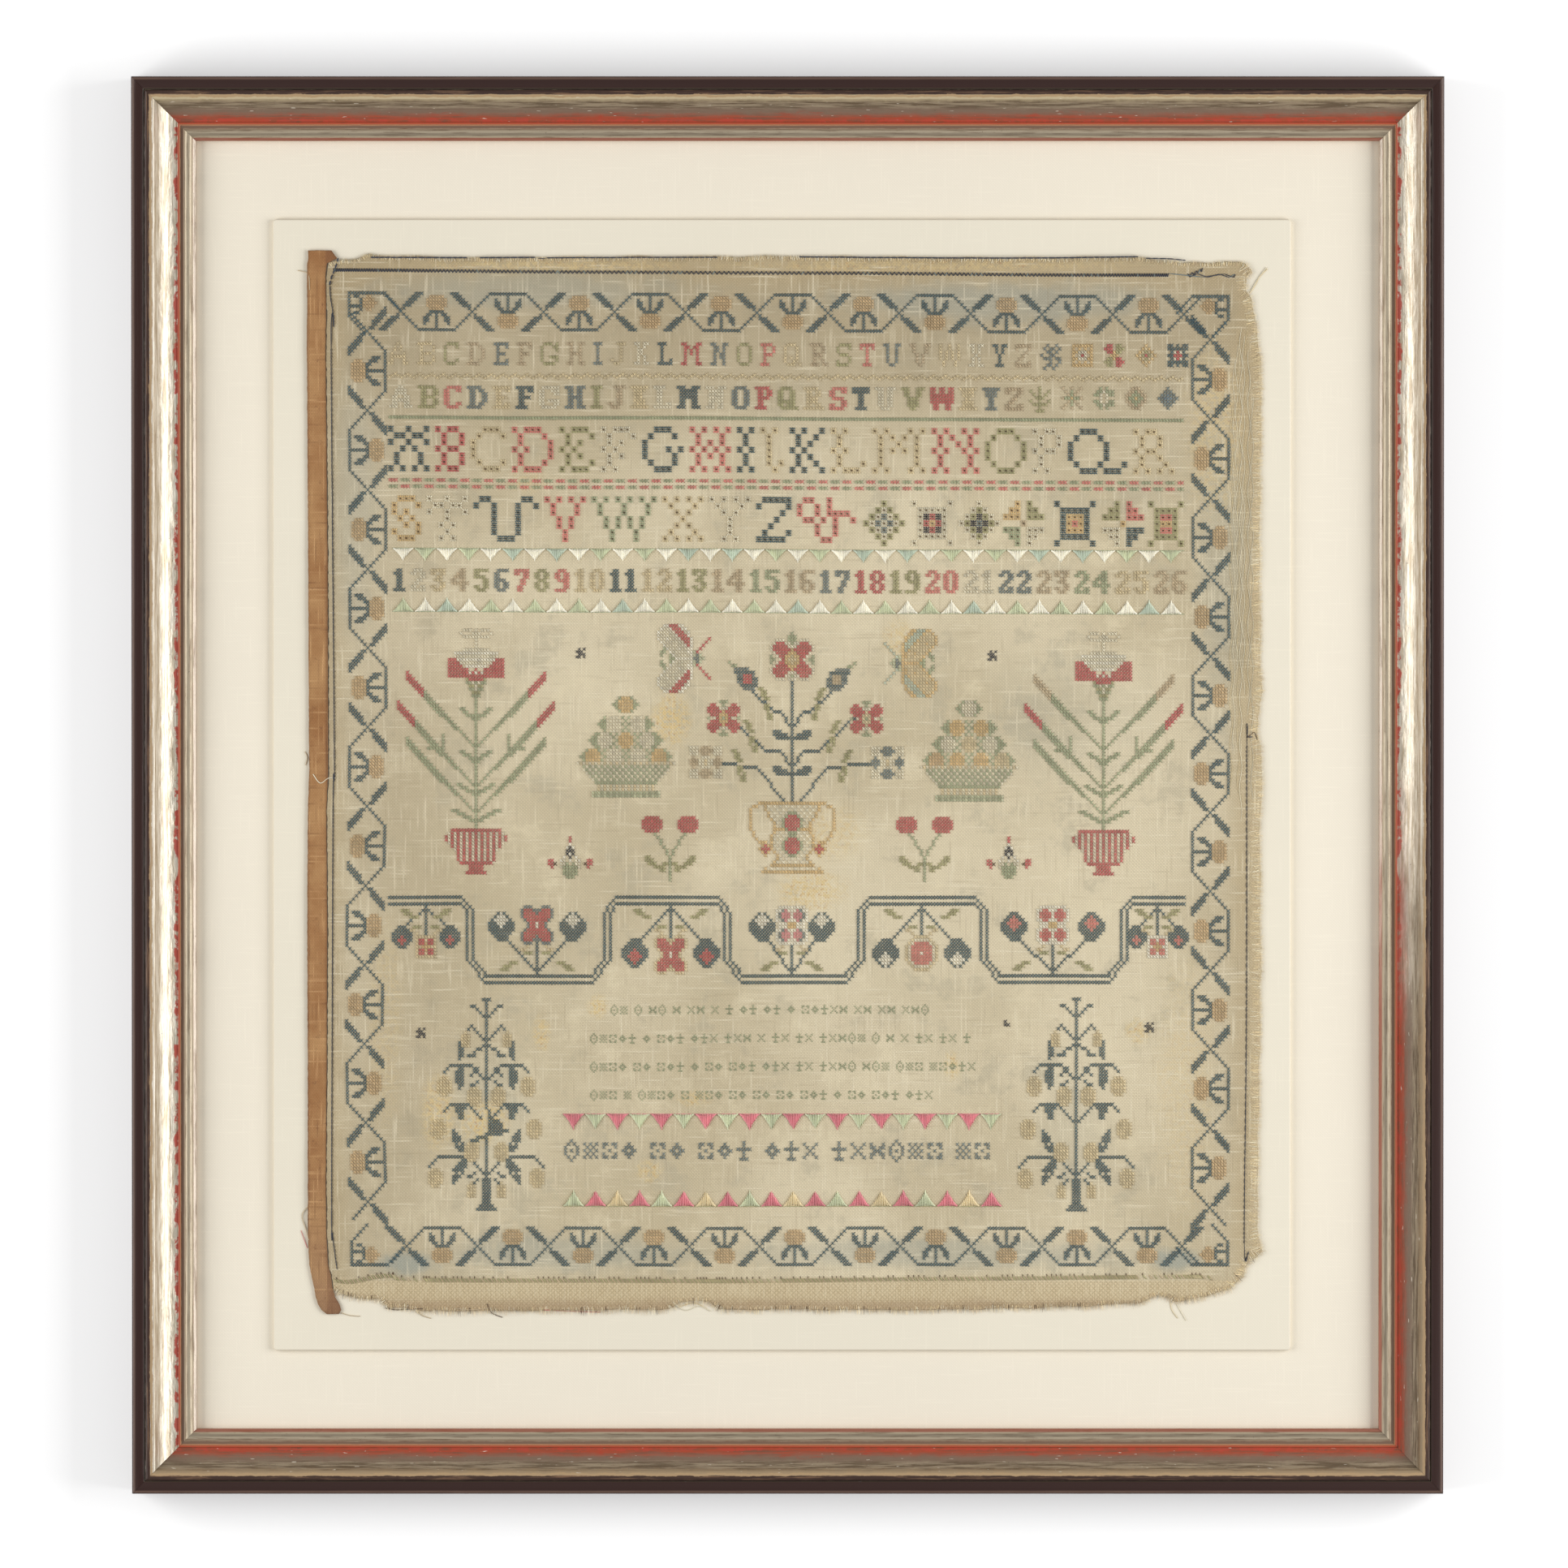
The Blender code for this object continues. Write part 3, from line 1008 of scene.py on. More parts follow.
@dataclass
class Surface:
    """The cloth's upper surface: nearly flat, with soft waves that are stronger at the edges."""

    base: float
    half_width: float = 200 * MM
    half_height: float = 225 * MM
    waves: tuple[Point, ...] = ((28.0, 0.16 * MM), (90.0, 0.06 * MM))  # scale and rise of each
    edge_reach: float = 22 * MM
    edge_gain: float = 0.8

    def height(self, x: float, y: float) -> float:
        """Height of the surface.

        Args:
            x: Across, in metres.
            y: Up, in metres.

        Returns:
            The height, in metres.
        """
        rise = sum(
            high * noise.noise(Vector((x * scale, y * scale, seed)))
            for (scale, high), seed in zip(self.waves, (1.3, 4.1))
        )
        near = min(self.half_width - abs(x), self.half_height - abs(y))
        edge = max(0.0, 1 - max(near, 0.0) / self.edge_reach)
        return self.base + rise * (1 + self.edge_gain * edge)


# Charts

LETTERS = {
    "A": "...X.../..X.X../..X.X../.X...X./.XXXXX./.X...X./XX...XX",
    "B": "XXXXX./.X...X/.X...X/.XXXX./.X...X/.X...X/XXXXX.",
    "C": ".XXXX/X...X/X..../X..../X..../X...X/.XXX.",
    "D": "XXXX../.X..X./.X...X/.X...X/.X...X/.X..X./XXXX..",
    "E": "XXXXX/.X..X/.X.../.XXX./.X.../.X..X/XXXXX",
    "F": "XXXXX/.X..X/.X.../.XXX./.X.../.X.../XXX..",
    "G": ".XXX.X/X...XX/X....X/X...../X..XXX/X....X/.XXXX.",
    "H": "XX..XX/.X..X./.X..X./.XXXX./.X..X./.X..X./XX..XX",
    "I": "XXX/.X./.X./.X./.X./.X./XXX",
    "J": "..XXX/...X./...X./...X./...X./X..X./.XX..",
    "K": "XX.XX/.X.X./.XX../.XX../.X.X./.X.X./XX.XX",
    "L": "XXX../.X.../.X.../.X.../.X.../.X..X/XXXXX",
    "M": "XX...XX/.XX.XX./.X.X.X./.X.X.X./.X...X./.X...X./XX...XX",
    "N": "XX..XX/.XX.X./.XX.X./.X.XX./.X.XX./.X..X./XX..X.",
    "O": ".XXX./X...X/X...X/X...X/X...X/X...X/.XXX.",
    "P": "XXXX./.X..X/.X..X/.XXX./.X.../.X.../XXX..",
    "Q": ".XXX../X...X./X...X./X...X./X.X.X./X..XX./.XXX.X",
    "R": "XXXX../.X..X./.X..X./.XXX../.X.X../.X..X./XXX.XX",
    "S": ".XXXX/X...X/X..../.XXX./....X/X...X/XXXX.",
    "T": "XXXXX/X.X.X/..X../..X../..X../..X../.XXX.",
    "U": "XX..XX/.X..X./.X..X./.X..X./.X..X./.X..X./..XX..",
    "V": "XX...XX/.X...X./.X...X./..X.X../..X.X../..X.X../...X...",
    "W": "X..X..X/X..X..X/X.X.X.X/X.X.X.X/X.X.X.X/.X...X./.X...X.",
    "X": "XX.XX/.X.X./.X.X./..X../.X.X./.X.X./XX.XX",
    "Y": "XX.XX/.X.X./.X.X./..X../..X../..X../.XXX.",
    "Z": "XXXXX/X...X/...X./..X../.X.../X...X/XXXXX",
    "&": "..XX.../.X..X../.X..X../..XX.X./.X..XX./.X..X../..XX.XX",
    "0": ".XX./X..X/X..X/X..X/X..X/X..X/.XX.",
    "1": ".X./XX./.X./.X./.X./.X./XXX",
    "2": ".XX./X..X/...X/..X./.X../X..X/XXXX",
    "3": "XXXX/X..X/..X./.XX./...X/X..X/.XX.",
    "4": "...X./..XX./.X.X./X..X./XXXXX/...X./...X.",
    "5": "XXXX/X.../XXX./...X/...X/X..X/.XX.",
    "6": ".XXX/X.../X.../XXX./X..X/X..X/.XX.",
    "7": "XXXX/X..X/...X/..X./..X./.X../.X..",
    "8": ".XX./X..X/X..X/.XX./X..X/X..X/.XX.",
    "9": ".XX./X..X/X..X/.XXX/...X/...X/XXX.",
}

# Letters of eyelets, with a dot for each, as old eyelet alphabets have them
EYELET_LETTERS = {
    "A": "X..X..X/.XX.XX./X..X..X/..X.X../.X...X./.X...X./X.X.X.X",
    "B": "X.XX./.X..X/.X..X/X.XX./.X..X/.X..X/X.XX.",
    "C": "..XXX./.X...X/X...../X...../X...../.X...X/..XXX.",
    "D": "X.XXX../.X...X./.X....X/X.X...X/.X....X/.X...X./X.XXX..",
    "E": "X.XXX./.X...X/.X.X../X.X.../.X.X../.X...X/X.XXX.",
    "F": "X.XXX./.X...X/.X.X../X.X.../.X.X../.X..../X.X...",
    "G": "..XXX../.X...X./X....../X...X.X/X....X./.X...X./..XXX..",
    "H": "X.X.X.X/.X...X./.X.X.X./X.X.X.X/.X.X.X./.X...X./X.X.X.X",
    "I": "X.X/.X./.X./X.X/.X./.X./X.X",
    "J": "X.X./.X../.X../.X../.X../.X.X/..X.",
    "K": "X.X..X/.X..X./.X.X../X.X.../.X.X../.X..X./X.X..X",
    "L": "X.X.../.X..../.X..../X.X.../.X..../.X...X/X.XXX.",
    "M": "X.X...X.X/.X.X.X.X./.X..X..X./.X.X.X.X./.X.....X./.X.....X./X.X...X.X",
    "N": "X.X..X.X/.X.X..X./.X..X.X./X.X..X.X/.X....X./.X....X./X.X..X.X",
    "O": "..XXX../.X...X./X.....X/X.....X/X.....X/.X...X./..XXX..",
    "P": "X.XX./.X..X/.X..X/X.XX./.X.../.X.../X.X..",
    "Q": "..XXX...../.X...X..../X.....X.../X.....X.../X.....X.../.X...X...X/..XXX.XXX.",
    "R": "X.XX.../.X..X../.X..X../X.XX.../.X..X../.X...X./X.X.X.X",
    "S": ".XXX./X...X/X.X../.X.X./..X.X/X...X/.XXX.",
    "T": "X..X..X/.XX.XX./X..X..X/...X.../..X.X../...X.../..X.X..",
    "U": ".XX.....XX./X..X...X..X/...X...X.../...X...X.../...X...X.../...X...X.../....XXX....",
    "V": "X.X.X.X/.X...X./.X...X./..X.X../..X.X../...X.../...X...",
    "W": "X.X.X.X.X.X/.X...X...X./.X...X...X./..X.X.X.X../..X.X.X.X../...X...X.../...X...X...",
    "X": "X.X.X.X/.X...X./..X.X../...X.../..X.X../.X...X./X.X.X.X",
    "Y": "X.X.X.X/.X...X./..X.X../...X.../...X.../...X.../..X.X..",
    "Z": ".XXXXX/X....X/....X./...X../..X.../.X...X/XXXXX.",
    "&": ".XX..X..../X..X.X..../X..X.XXXX./.XX.X.X..X/...X..X.../...X..X.../....XX....",
}
# Motifs of eyelets beside the last letters
EYELET_MOTIFS = (
    "...v.../..vcv../.vcbcv./vcbcbcv/.vcbcv./..vcv../...v...",
    "c.....c/.ccccc./.cnrnc./.crgrc./.cnrnc./.ccccc./c.....c",
    "...c.../..cvc../.cvnvc./cvnbnvc/.cvnvc./..cvc../...c...",
    "..g.v../.gg.vv./ggg.vvv/...t.../eee.ccc/.ee.cc./..e.c..",
    "i.....i/.iiiii./.igggi./.igogi./.igggi./.iiiii./i.....i",
    "..v.o../.vv.oo./vvv.ooo/...g.../ccc.iii/.cc.ii./..c.i..",
    "v....v/.vvvv./.voov./.vggv./.voov./.vvvv./v....v",
)
ALPHABET = "ABCDEFGHIJKLMNOPQRSTUVWXYZ"

SMALL_MOTIFS = {
    "sprig": "..b..b./.b.bb.b/..bb.b./b..bb../.bbb.bb/...b..b/..bb.b./.b..b..",
    "square": "ggggggg/g.g.g.g/ggcccgg/g.crc.g/ggcccgg/g.g.g.g/ggggggg",
    "petals": ".rr.vv./rrr.vvv/.rrgvv./..ggg../.vvgrr./vvv.rrr/.vv.rr.",
    "lozenge": "...g.../..gsg../.gsvsg./gsvrvsg/.gsvsg./..gsg../...g...",
    "box": "ii.i.ii/iiiiiii/.icrci./iirrrii/.icrci./iiiiiii/ii.i.ii",
    "twig": "...v.../v..v..v/.v.v.v./..vvv../v..v..v/.vvvvv./...v.../..vvv..",
    "star": "t..t..t/.t.e.t./..tet../teegeet/..tet../.t.e.t./t..t..t",
    "leafy": "..e.e../.eeceee/eec.cee/..c.c../eec.cee/.eeceee/..e.e..",
    "round": "..ttt../.ttett./tteeett/teegeet/tteeett/.ttett./..ttt..",
    "bud": "...b.../..bbb../.bbubb./bbuuubb/.bbubb./..bbb../...b...",
}

# Left halves, up to and with the middle column
TULIPS = """
.rrrrr....
rrrrrrr...
rrrrrrr...
rrrrrrr...
.rrrrr....
....e.....
.....e....
......e...
......e...
.......e..
........e.
........e.
.vv......e
.vvv.....e
..vvv..vve
....vvvv.e
......vv.e
.........e
.........e
.........e
"""
CORNER_SPRIG = """
.......r
.......r
.......w
......wn
......nn
......nw
.....w.n
rr..wc.w
rrk.cce.
.r..ceee
.....eee
.....eee
......ee
"""
CROWN_FLOWER = """
.......e
......ee
..ccc.ee
.crrrcce
crrrrrcc
crrrrrrg
.crrrrgg
e.crrggs
ee.crgss
e.crrggs
.crrrrgg
crrrrrrg
crrrrrcc
.crrrcce
..ccc.cc
"""
ROSE_FLOWER = """
....ee
.rr..e
rrrrcc
rrrrrg
.rrrgg
e.crge
.rrrgg
rrrrrg
rrrrcc
.rr..e
....ee
"""
CROSS_FLOWER = """
ccc.gg
cccggg
ccc.gg
.g..cc
gggccs
gggccs
.g..cc
ccc.gg
cccggg
ccc.gg
"""
LOBED_FLOWER = """
.bbb..
brrrbb
brrrrb
brrrrr
.brrrr
..brrw
..brrw
.brrrr
brrrrr
brrrrb
brrrbb
.bbb..
"""
FOUR_PETALS = """
.wwwww
wworww
worrrw
worrrw
wworww
.wwwgg
.wwwgg
wworww
worrrw
worrrw
wworww
.wwwww
"""
LITTLE_FLOWER = """
ssss
srrs
srrg
ssgg
srrg
srrs
ssss
"""
# The upper half up to and with the body's row, facing right
BUTTERFLY = """
..wwrrrww.........
.wccwrrrww........
wcccccrrrcw.......
wcccccwrrrw.......
wccwcccwrrrw.....r
.wcccccccrrw....r.
..wccccccwrw...r..
..ewcccwccww..r...
.ee.wcccccwwmr....
.e..ewcccccwmbm...
....eewwwwwwbbmm..
"""

# Ornaments of the lower lines, each made of crosses over one thread
FILLERS = (
    "..X../.X.X./X...X/X.X.X/X...X/.X.X./..X..",
    "X...X/.X.X./..X../.X.X./X...X",
    "..X../.XXX./XX.XX/.XXX./..X..",
    "X.X.X/.X.X./X.X.X/.X.X./X.X.X",
    "X...X/XX.XX/.XXX./XX.XX/X...X",
    "..X../..X../XXXXX/..X../..X../.XXX.",
    "XX.XX/X...X/..X../X...X/XX.XX",
)


class Chart:
    """Stitches on a grid, by column and by row downwards from the chart's own origin."""

    def __init__(self) -> None:
        """Starts empty."""
        self.cells: dict[Cell, Thread] = {}

    def put(self, column: float, row: float, letter: str) -> None:
        """Works one stitch."""
        self.cells[round(column), round(row)] = Thread.of(letter)

    def run(self, start: Point, end: Point, letter: str, wide: int = 1) -> "Chart":
        """Works a straight or slanted run of stitches.

        Args:
            start: Its first cell.
            end: Its last cell.
            letter: Its thread.
            wide: Its width in stitches, to the right.

        Returns:
            This chart.
        """
        steps = max(1, math.ceil(max(abs(end[0] - start[0]), abs(end[1] - start[1]))))
        for step in range(steps + 1):
            share = step / steps
            column = start[0] + (end[0] - start[0]) * share
            row = start[1] + (end[1] - start[1]) * share
            for extra in range(wide):
                self.put(column + extra, row, letter)
        return self

    def path(self, points: Sequence[Point], letter: str, wide: int = 1) -> "Chart":
        """Works runs from point to point."""
        for start, end in zip(points, points[1:]):
            self.run(start, end, letter, wide)
        return self

    def disc(self, column: float, row: float, radius: float, letters: str) -> "Chart":
        """Works a round shape in rings.

        Args:
            column: Its middle.
            row: Its middle.
            radius: Its radius.
            letters: The threads of its rings, from the middle outwards.

        Returns:
            This chart.
        """
        reach = math.ceil(radius)
        for down in range(-reach, reach + 1):
            for across in range(-reach, reach + 1):
                far = math.hypot(across, down)
                if far <= radius:
                    ring = min(len(letters) - 1, int(far / radius * len(letters)))
                    self.put(column + across, row + down, letters[ring])
        return self

    def rows(self, text: str, column: int = 0, row: int = 0) -> "Chart":
        """Works a chart written in letters.

        Args:
            text: Rows between line ends or slashes, with dots where the cloth is bare.
            column: The column of its first letter.
            row: The row of its first line.

        Returns:
            This chart.
        """
        for down, line in enumerate(text.strip().replace("\n", "/").split("/")):
            for across, letter in enumerate(line):
                if letter != ".":
                    self.put(column + across, row + down, letter)
        return self

    def levels(self, first_row: int, half_widths: Sequence[int], letters: str) -> "Chart":
        """Works a symmetrical body row by row.

        Args:
            first_row: The row of the first width.
            half_widths: Stitches on each side of the middle column, for each row.
            letters: Threads of its columns, repeated outwards from the middle.

        Returns:
            This chart.
        """
        for down, half in enumerate(half_widths):
            for across in range(-half, half + 1):
                self.put(across, first_row + down, letters[abs(across) % len(letters)])
        return self

    def mirrored(self) -> "Chart":
        """Adds the mirror of the left half, about column 0."""
        for (column, row), thread in list(self.cells.items()):
            self.cells[-column, row] = thread
        return self

    def turned(self, flip_x: bool = False, flip_y: bool = False) -> "Chart":
        """A copy that is turned over.

        Args:
            flip_x: Left for right.
            flip_y: Top for bottom.

        Returns:
            The copy.
        """
        copy = Chart()
        for (column, row), thread in self.cells.items():
            copy.cells[-column if flip_x else column, -row if flip_y else row] = thread
        return copy

    def recoloured(self, changes: dict[str, str]) -> "Chart":
        """A copy with other threads, by the letters of the old and new ones."""
        swaps = {Thread.of(old): Thread.of(new) for old, new in changes.items()}
        copy = Chart()
        copy.cells = {cell: swaps.get(thread, thread) for cell, thread in self.cells.items()}
        return copy

    def half_rows(self, text: str) -> "Chart":
        """Works the left half of a motif, given up to its middle column, and its mirror."""
        width = len(text.strip().split("\n")[0])
        return self.rows(text, 1 - width).mirrored()


def letter_cells(chart: str, bold: bool) -> tuple[list[Cell], int]:
    """Reads a letter's chart.

    Args:
        chart: The letter's rows.
        bold: Whether its strokes are two stitches wide.

    Returns:
        Its cells, and its width in columns.
    """
    lines = chart.split("/")
    cells = [
        (column + extra, row)
        for row, line in enumerate(lines)
        for column, mark in enumerate(line)
        if mark == "X"
        for extra in range(2 if bold else 1)
    ]
    return cells, len(lines[0]) + bold


class Kind(Enum):
    """Ways a line of lettering is worked."""

    THIN = "thin"
    BOLD = "bold"
    EYELET = "eyelet"


class Line(NamedTuple):
    """A line of letters or figures, spread between two sides, in millimetres."""

    signs: Sequence[str]
    threads: str
    left: float
    right: float
    top: float
    kind: Kind
    motifs: Sequence[str] = ()


@dataclass
class Ground:
    """The worked field: gathers stitches and strands, and lays them as the old cloth has moved."""

    surface: Surface
    stray: random.Random = field(default_factory=lambda: random.Random(17))
    stitches: list[StitchPoint] = field(default_factory=list)
    strands: list[Strand] = field(default_factory=list)
    # dark plugs of painted shade in the eyelets' holes
    holes: list[Strand] = field(default_factory=list)
    sag: float = 1.4 * MM  # how far the upper rows have dropped at their right end
    sway: float = 0.35 * MM  # how far the cloth has pulled any place aside
    clearance: float = 0.02 * MM  # between the cloth and a thread over it
    swells: tuple[float, float] = (0.96, 1.1)  # ranges of a cross stitch's size, tone and turn
    tones: tuple[float, float] = (0.84, 1.14)
    turns: tuple[float, float] = (-0.07, 0.07)
    strand_tones: tuple[float, float] = (0.86, 1.12)
    eyelet_hole: float = 0.36  # where an eyelet's threads start, as a share of its half size
    eyelet_holes: tuple[float, float] = (0.34 * MM, 0.42 * MM)  # range of the radius of the dark plug of painted shade in the hole
    # how far the dark plug of painted shade stands up from the cloth
    eyelet_height: float = 0.62 * MM

    def lie(self, x: float, y: float) -> Point:
        """Where a charted place has moved to.

        Args:
            x: Across, in metres.
            y: Up, in metres.

        Returns:
            The place on the cloth.
        """
        upper = min(1.0, max(0.0, (y + 40 * MM) / (110 * MM)))
        drop = self.sag * (x + 170 * MM) / (340 * MM) * upper
        wave = noise.noise(Vector((x * 14, y * 14, 8.0)))
        other = noise.noise(Vector((x * 14, y * 14, 21.0)))
        return x + self.sway * wave, y - drop + self.sway * other

    def cross(self, x: float, y: float, thread: Thread, width: float = PITCH_X,
              height: float = PITCH_Y) -> None:
        """Works one cross stitch at a charted place.

        Args:
            x: Across, in metres.
            y: Up, in metres.
            thread: Its thread.
            width: Its width.
            height: Its height.
        """
        place = self.lie(x, y)
        swell = self.stray.uniform(*self.swells)
        tone = self.stray.uniform(*self.tones)
        turn = self.stray.uniform(*self.turns)
        self.stitches.append(
            StitchPoint(*place, width * swell, height * swell, thread, tone, turn)
        )

    def strand(self, points: Sequence[Point], thread: Thread, radius: float,
               moved: bool = True, tone: float | None = None) -> None:
        """Lays a thread that dips into the cloth at both ends.

        Args:
            points: Its points, in metres.
            thread: Its thread.
            radius: Its radius at the middle.
            moved: Whether the places are charted ones, which have moved with the cloth.
            tone: Its tone, or a random one.
        """
        last = len(points) - 1
        made = []
        for index, (x, y) in enumerate(points):
            if moved:
                x, y = self.lie(x, y)
            inner = 0.0 if index in (0, last) else 1.0
            z = self.surface.height(x, y) + (self.clearance + radius) * inner
            made.append(StrandPoint(x, y, z, radius * (0.55 + 0.45 * inner)))
        tone = tone or self.stray.uniform(*self.strand_tones)
        self.strands.append(Strand(tuple(made), thread, tone))

    def straight(self, start: Point, end: Point, thread: Thread, radius: float,
                 sheen: float = 1.0) -> None:
        """Lays a straight stitch.

        Args:
            start: One end, in metres.
            end: The other end.
            thread: Its thread.
            radius: Its radius.
            sheen: How much brighter than its thread it is painted: a painted sheen, as silk has.
        """
        inner = [tuple(a + (b - a) * share for a, b in zip(start, end)) for share in (0.2, 0.8)]
        tone = self.stray.uniform(*self.strand_tones) * sheen
        self.strand((start, *inner, end), thread, radius, tone=tone)

    def lay(self, chart: Chart, x: float, y: float, pitch_x: float = PITCH_X,
            pitch_y: float = PITCH_Y) -> None:
        """Works a chart.

        Args:
            chart: The chart.
            x: Where its column 0 is, in metres.
            y: Where its row 0 is, in metres.
            pitch_x: One stitch across.
            pitch_y: One stitch down.
        """
        for (column, row), thread in sorted(chart.cells.items()):
            self.cross(x + column * pitch_x, y - row * pitch_y, thread, pitch_x, pitch_y)

    def eyelet(self, x: float, y: float, thread: Thread, half_x: float, half_y: float) -> None:
        """Works an eyelet: eight threads drawn into one hole, with a dark plug of painted shade in
        the hole.

        Args:
            x: Its middle, in metres.
            y: Its middle, in metres.
            thread: Its thread.
            half_x: Half its width.
            half_y: Half its height.
        """
        tone = self.stray.uniform(0.9, 1.1)
        for step in range(8):
            across = round(math.cos(step * math.pi / 4) * 1.2)
            up = round(math.sin(step * math.pi / 4) * 1.2)
            reach = 0.88 if across and up else 0.95
            end = (x + across * half_x * reach, y + up * half_y * reach)
            start = (x + across * half_x * self.eyelet_hole, y + up * half_y * self.eyelet_hole)
            self.strand((start, ((start[0] + end[0]) / 2, (start[1] + end[1]) / 2), end),
                        thread, 0.36 * MM, tone=tone * self.stray.uniform(0.9, 1.1))
        # painted shade: a short dark plug of the eyelet's thread, darkened in full, stands in its
        # hole
        x, y = self.lie(x, y)
        foot = self.surface.height(x, y)
        radius = self.stray.uniform(*self.eyelet_holes)
        points = tuple(StrandPoint(x, y, foot + up, radius) for up in (0.0, self.eyelet_height))
        self.holes.append(Strand(points, thread, 0.7, 1.0))

    def eyelets(self, chart: Chart, x: float, y: float) -> None:
        """Works a chart in eyelets, each two stitches wide and high.

        Args:
            chart: The chart.
            x: Where its column 0 is, in metres.
            y: Where its row 0 is, in metres.
        """
        for (column, row), thread in sorted(chart.cells.items()):
            place = (x + column * 2 * PITCH_X, y - row * 2 * PITCH_Y)
            self.eyelet(*place, thread, PITCH_X, PITCH_Y)

    def letter_line(self, line: Line) -> None:
        """Works a line of letters, figures or motifs, evenly spread.

        Args:
            line: The line.
        """
        eyelet = line.kind is Kind.EYELET
        size = 2 if eyelet else 1
        charts = []
        for word, letter in zip(line.signs, line.threads):
            chart, start = Chart(), 0
            for sign in word:
                book = EYELET_LETTERS if eyelet else LETTERS
                cells, width = letter_cells(book[sign], line.kind is Kind.BOLD)
                for column, row in cells:
                    chart.put(column + start, row, letter)
                start += width + 1
            charts.append((chart, start - 1))
        for name in line.motifs:
            text = SMALL_MOTIFS[name]
            charts.append((Chart().rows(text), len(text.split("/")[0])))
        pitch_x, pitch_y = PITCH_X * size, PITCH_Y * size
        room = (line.right - line.left) * MM / pitch_x - sum(width for _, width in charts)
        column, space = 0.5, room / (len(charts) - 1)
        for chart, width in charts:
            x, y = line.left * MM + column * pitch_x, line.top * MM - 0.5 * pitch_y
            if eyelet:
                self.eyelets(chart, x, y)
            else:
                self.lay(chart, x, y)
            column += width + space


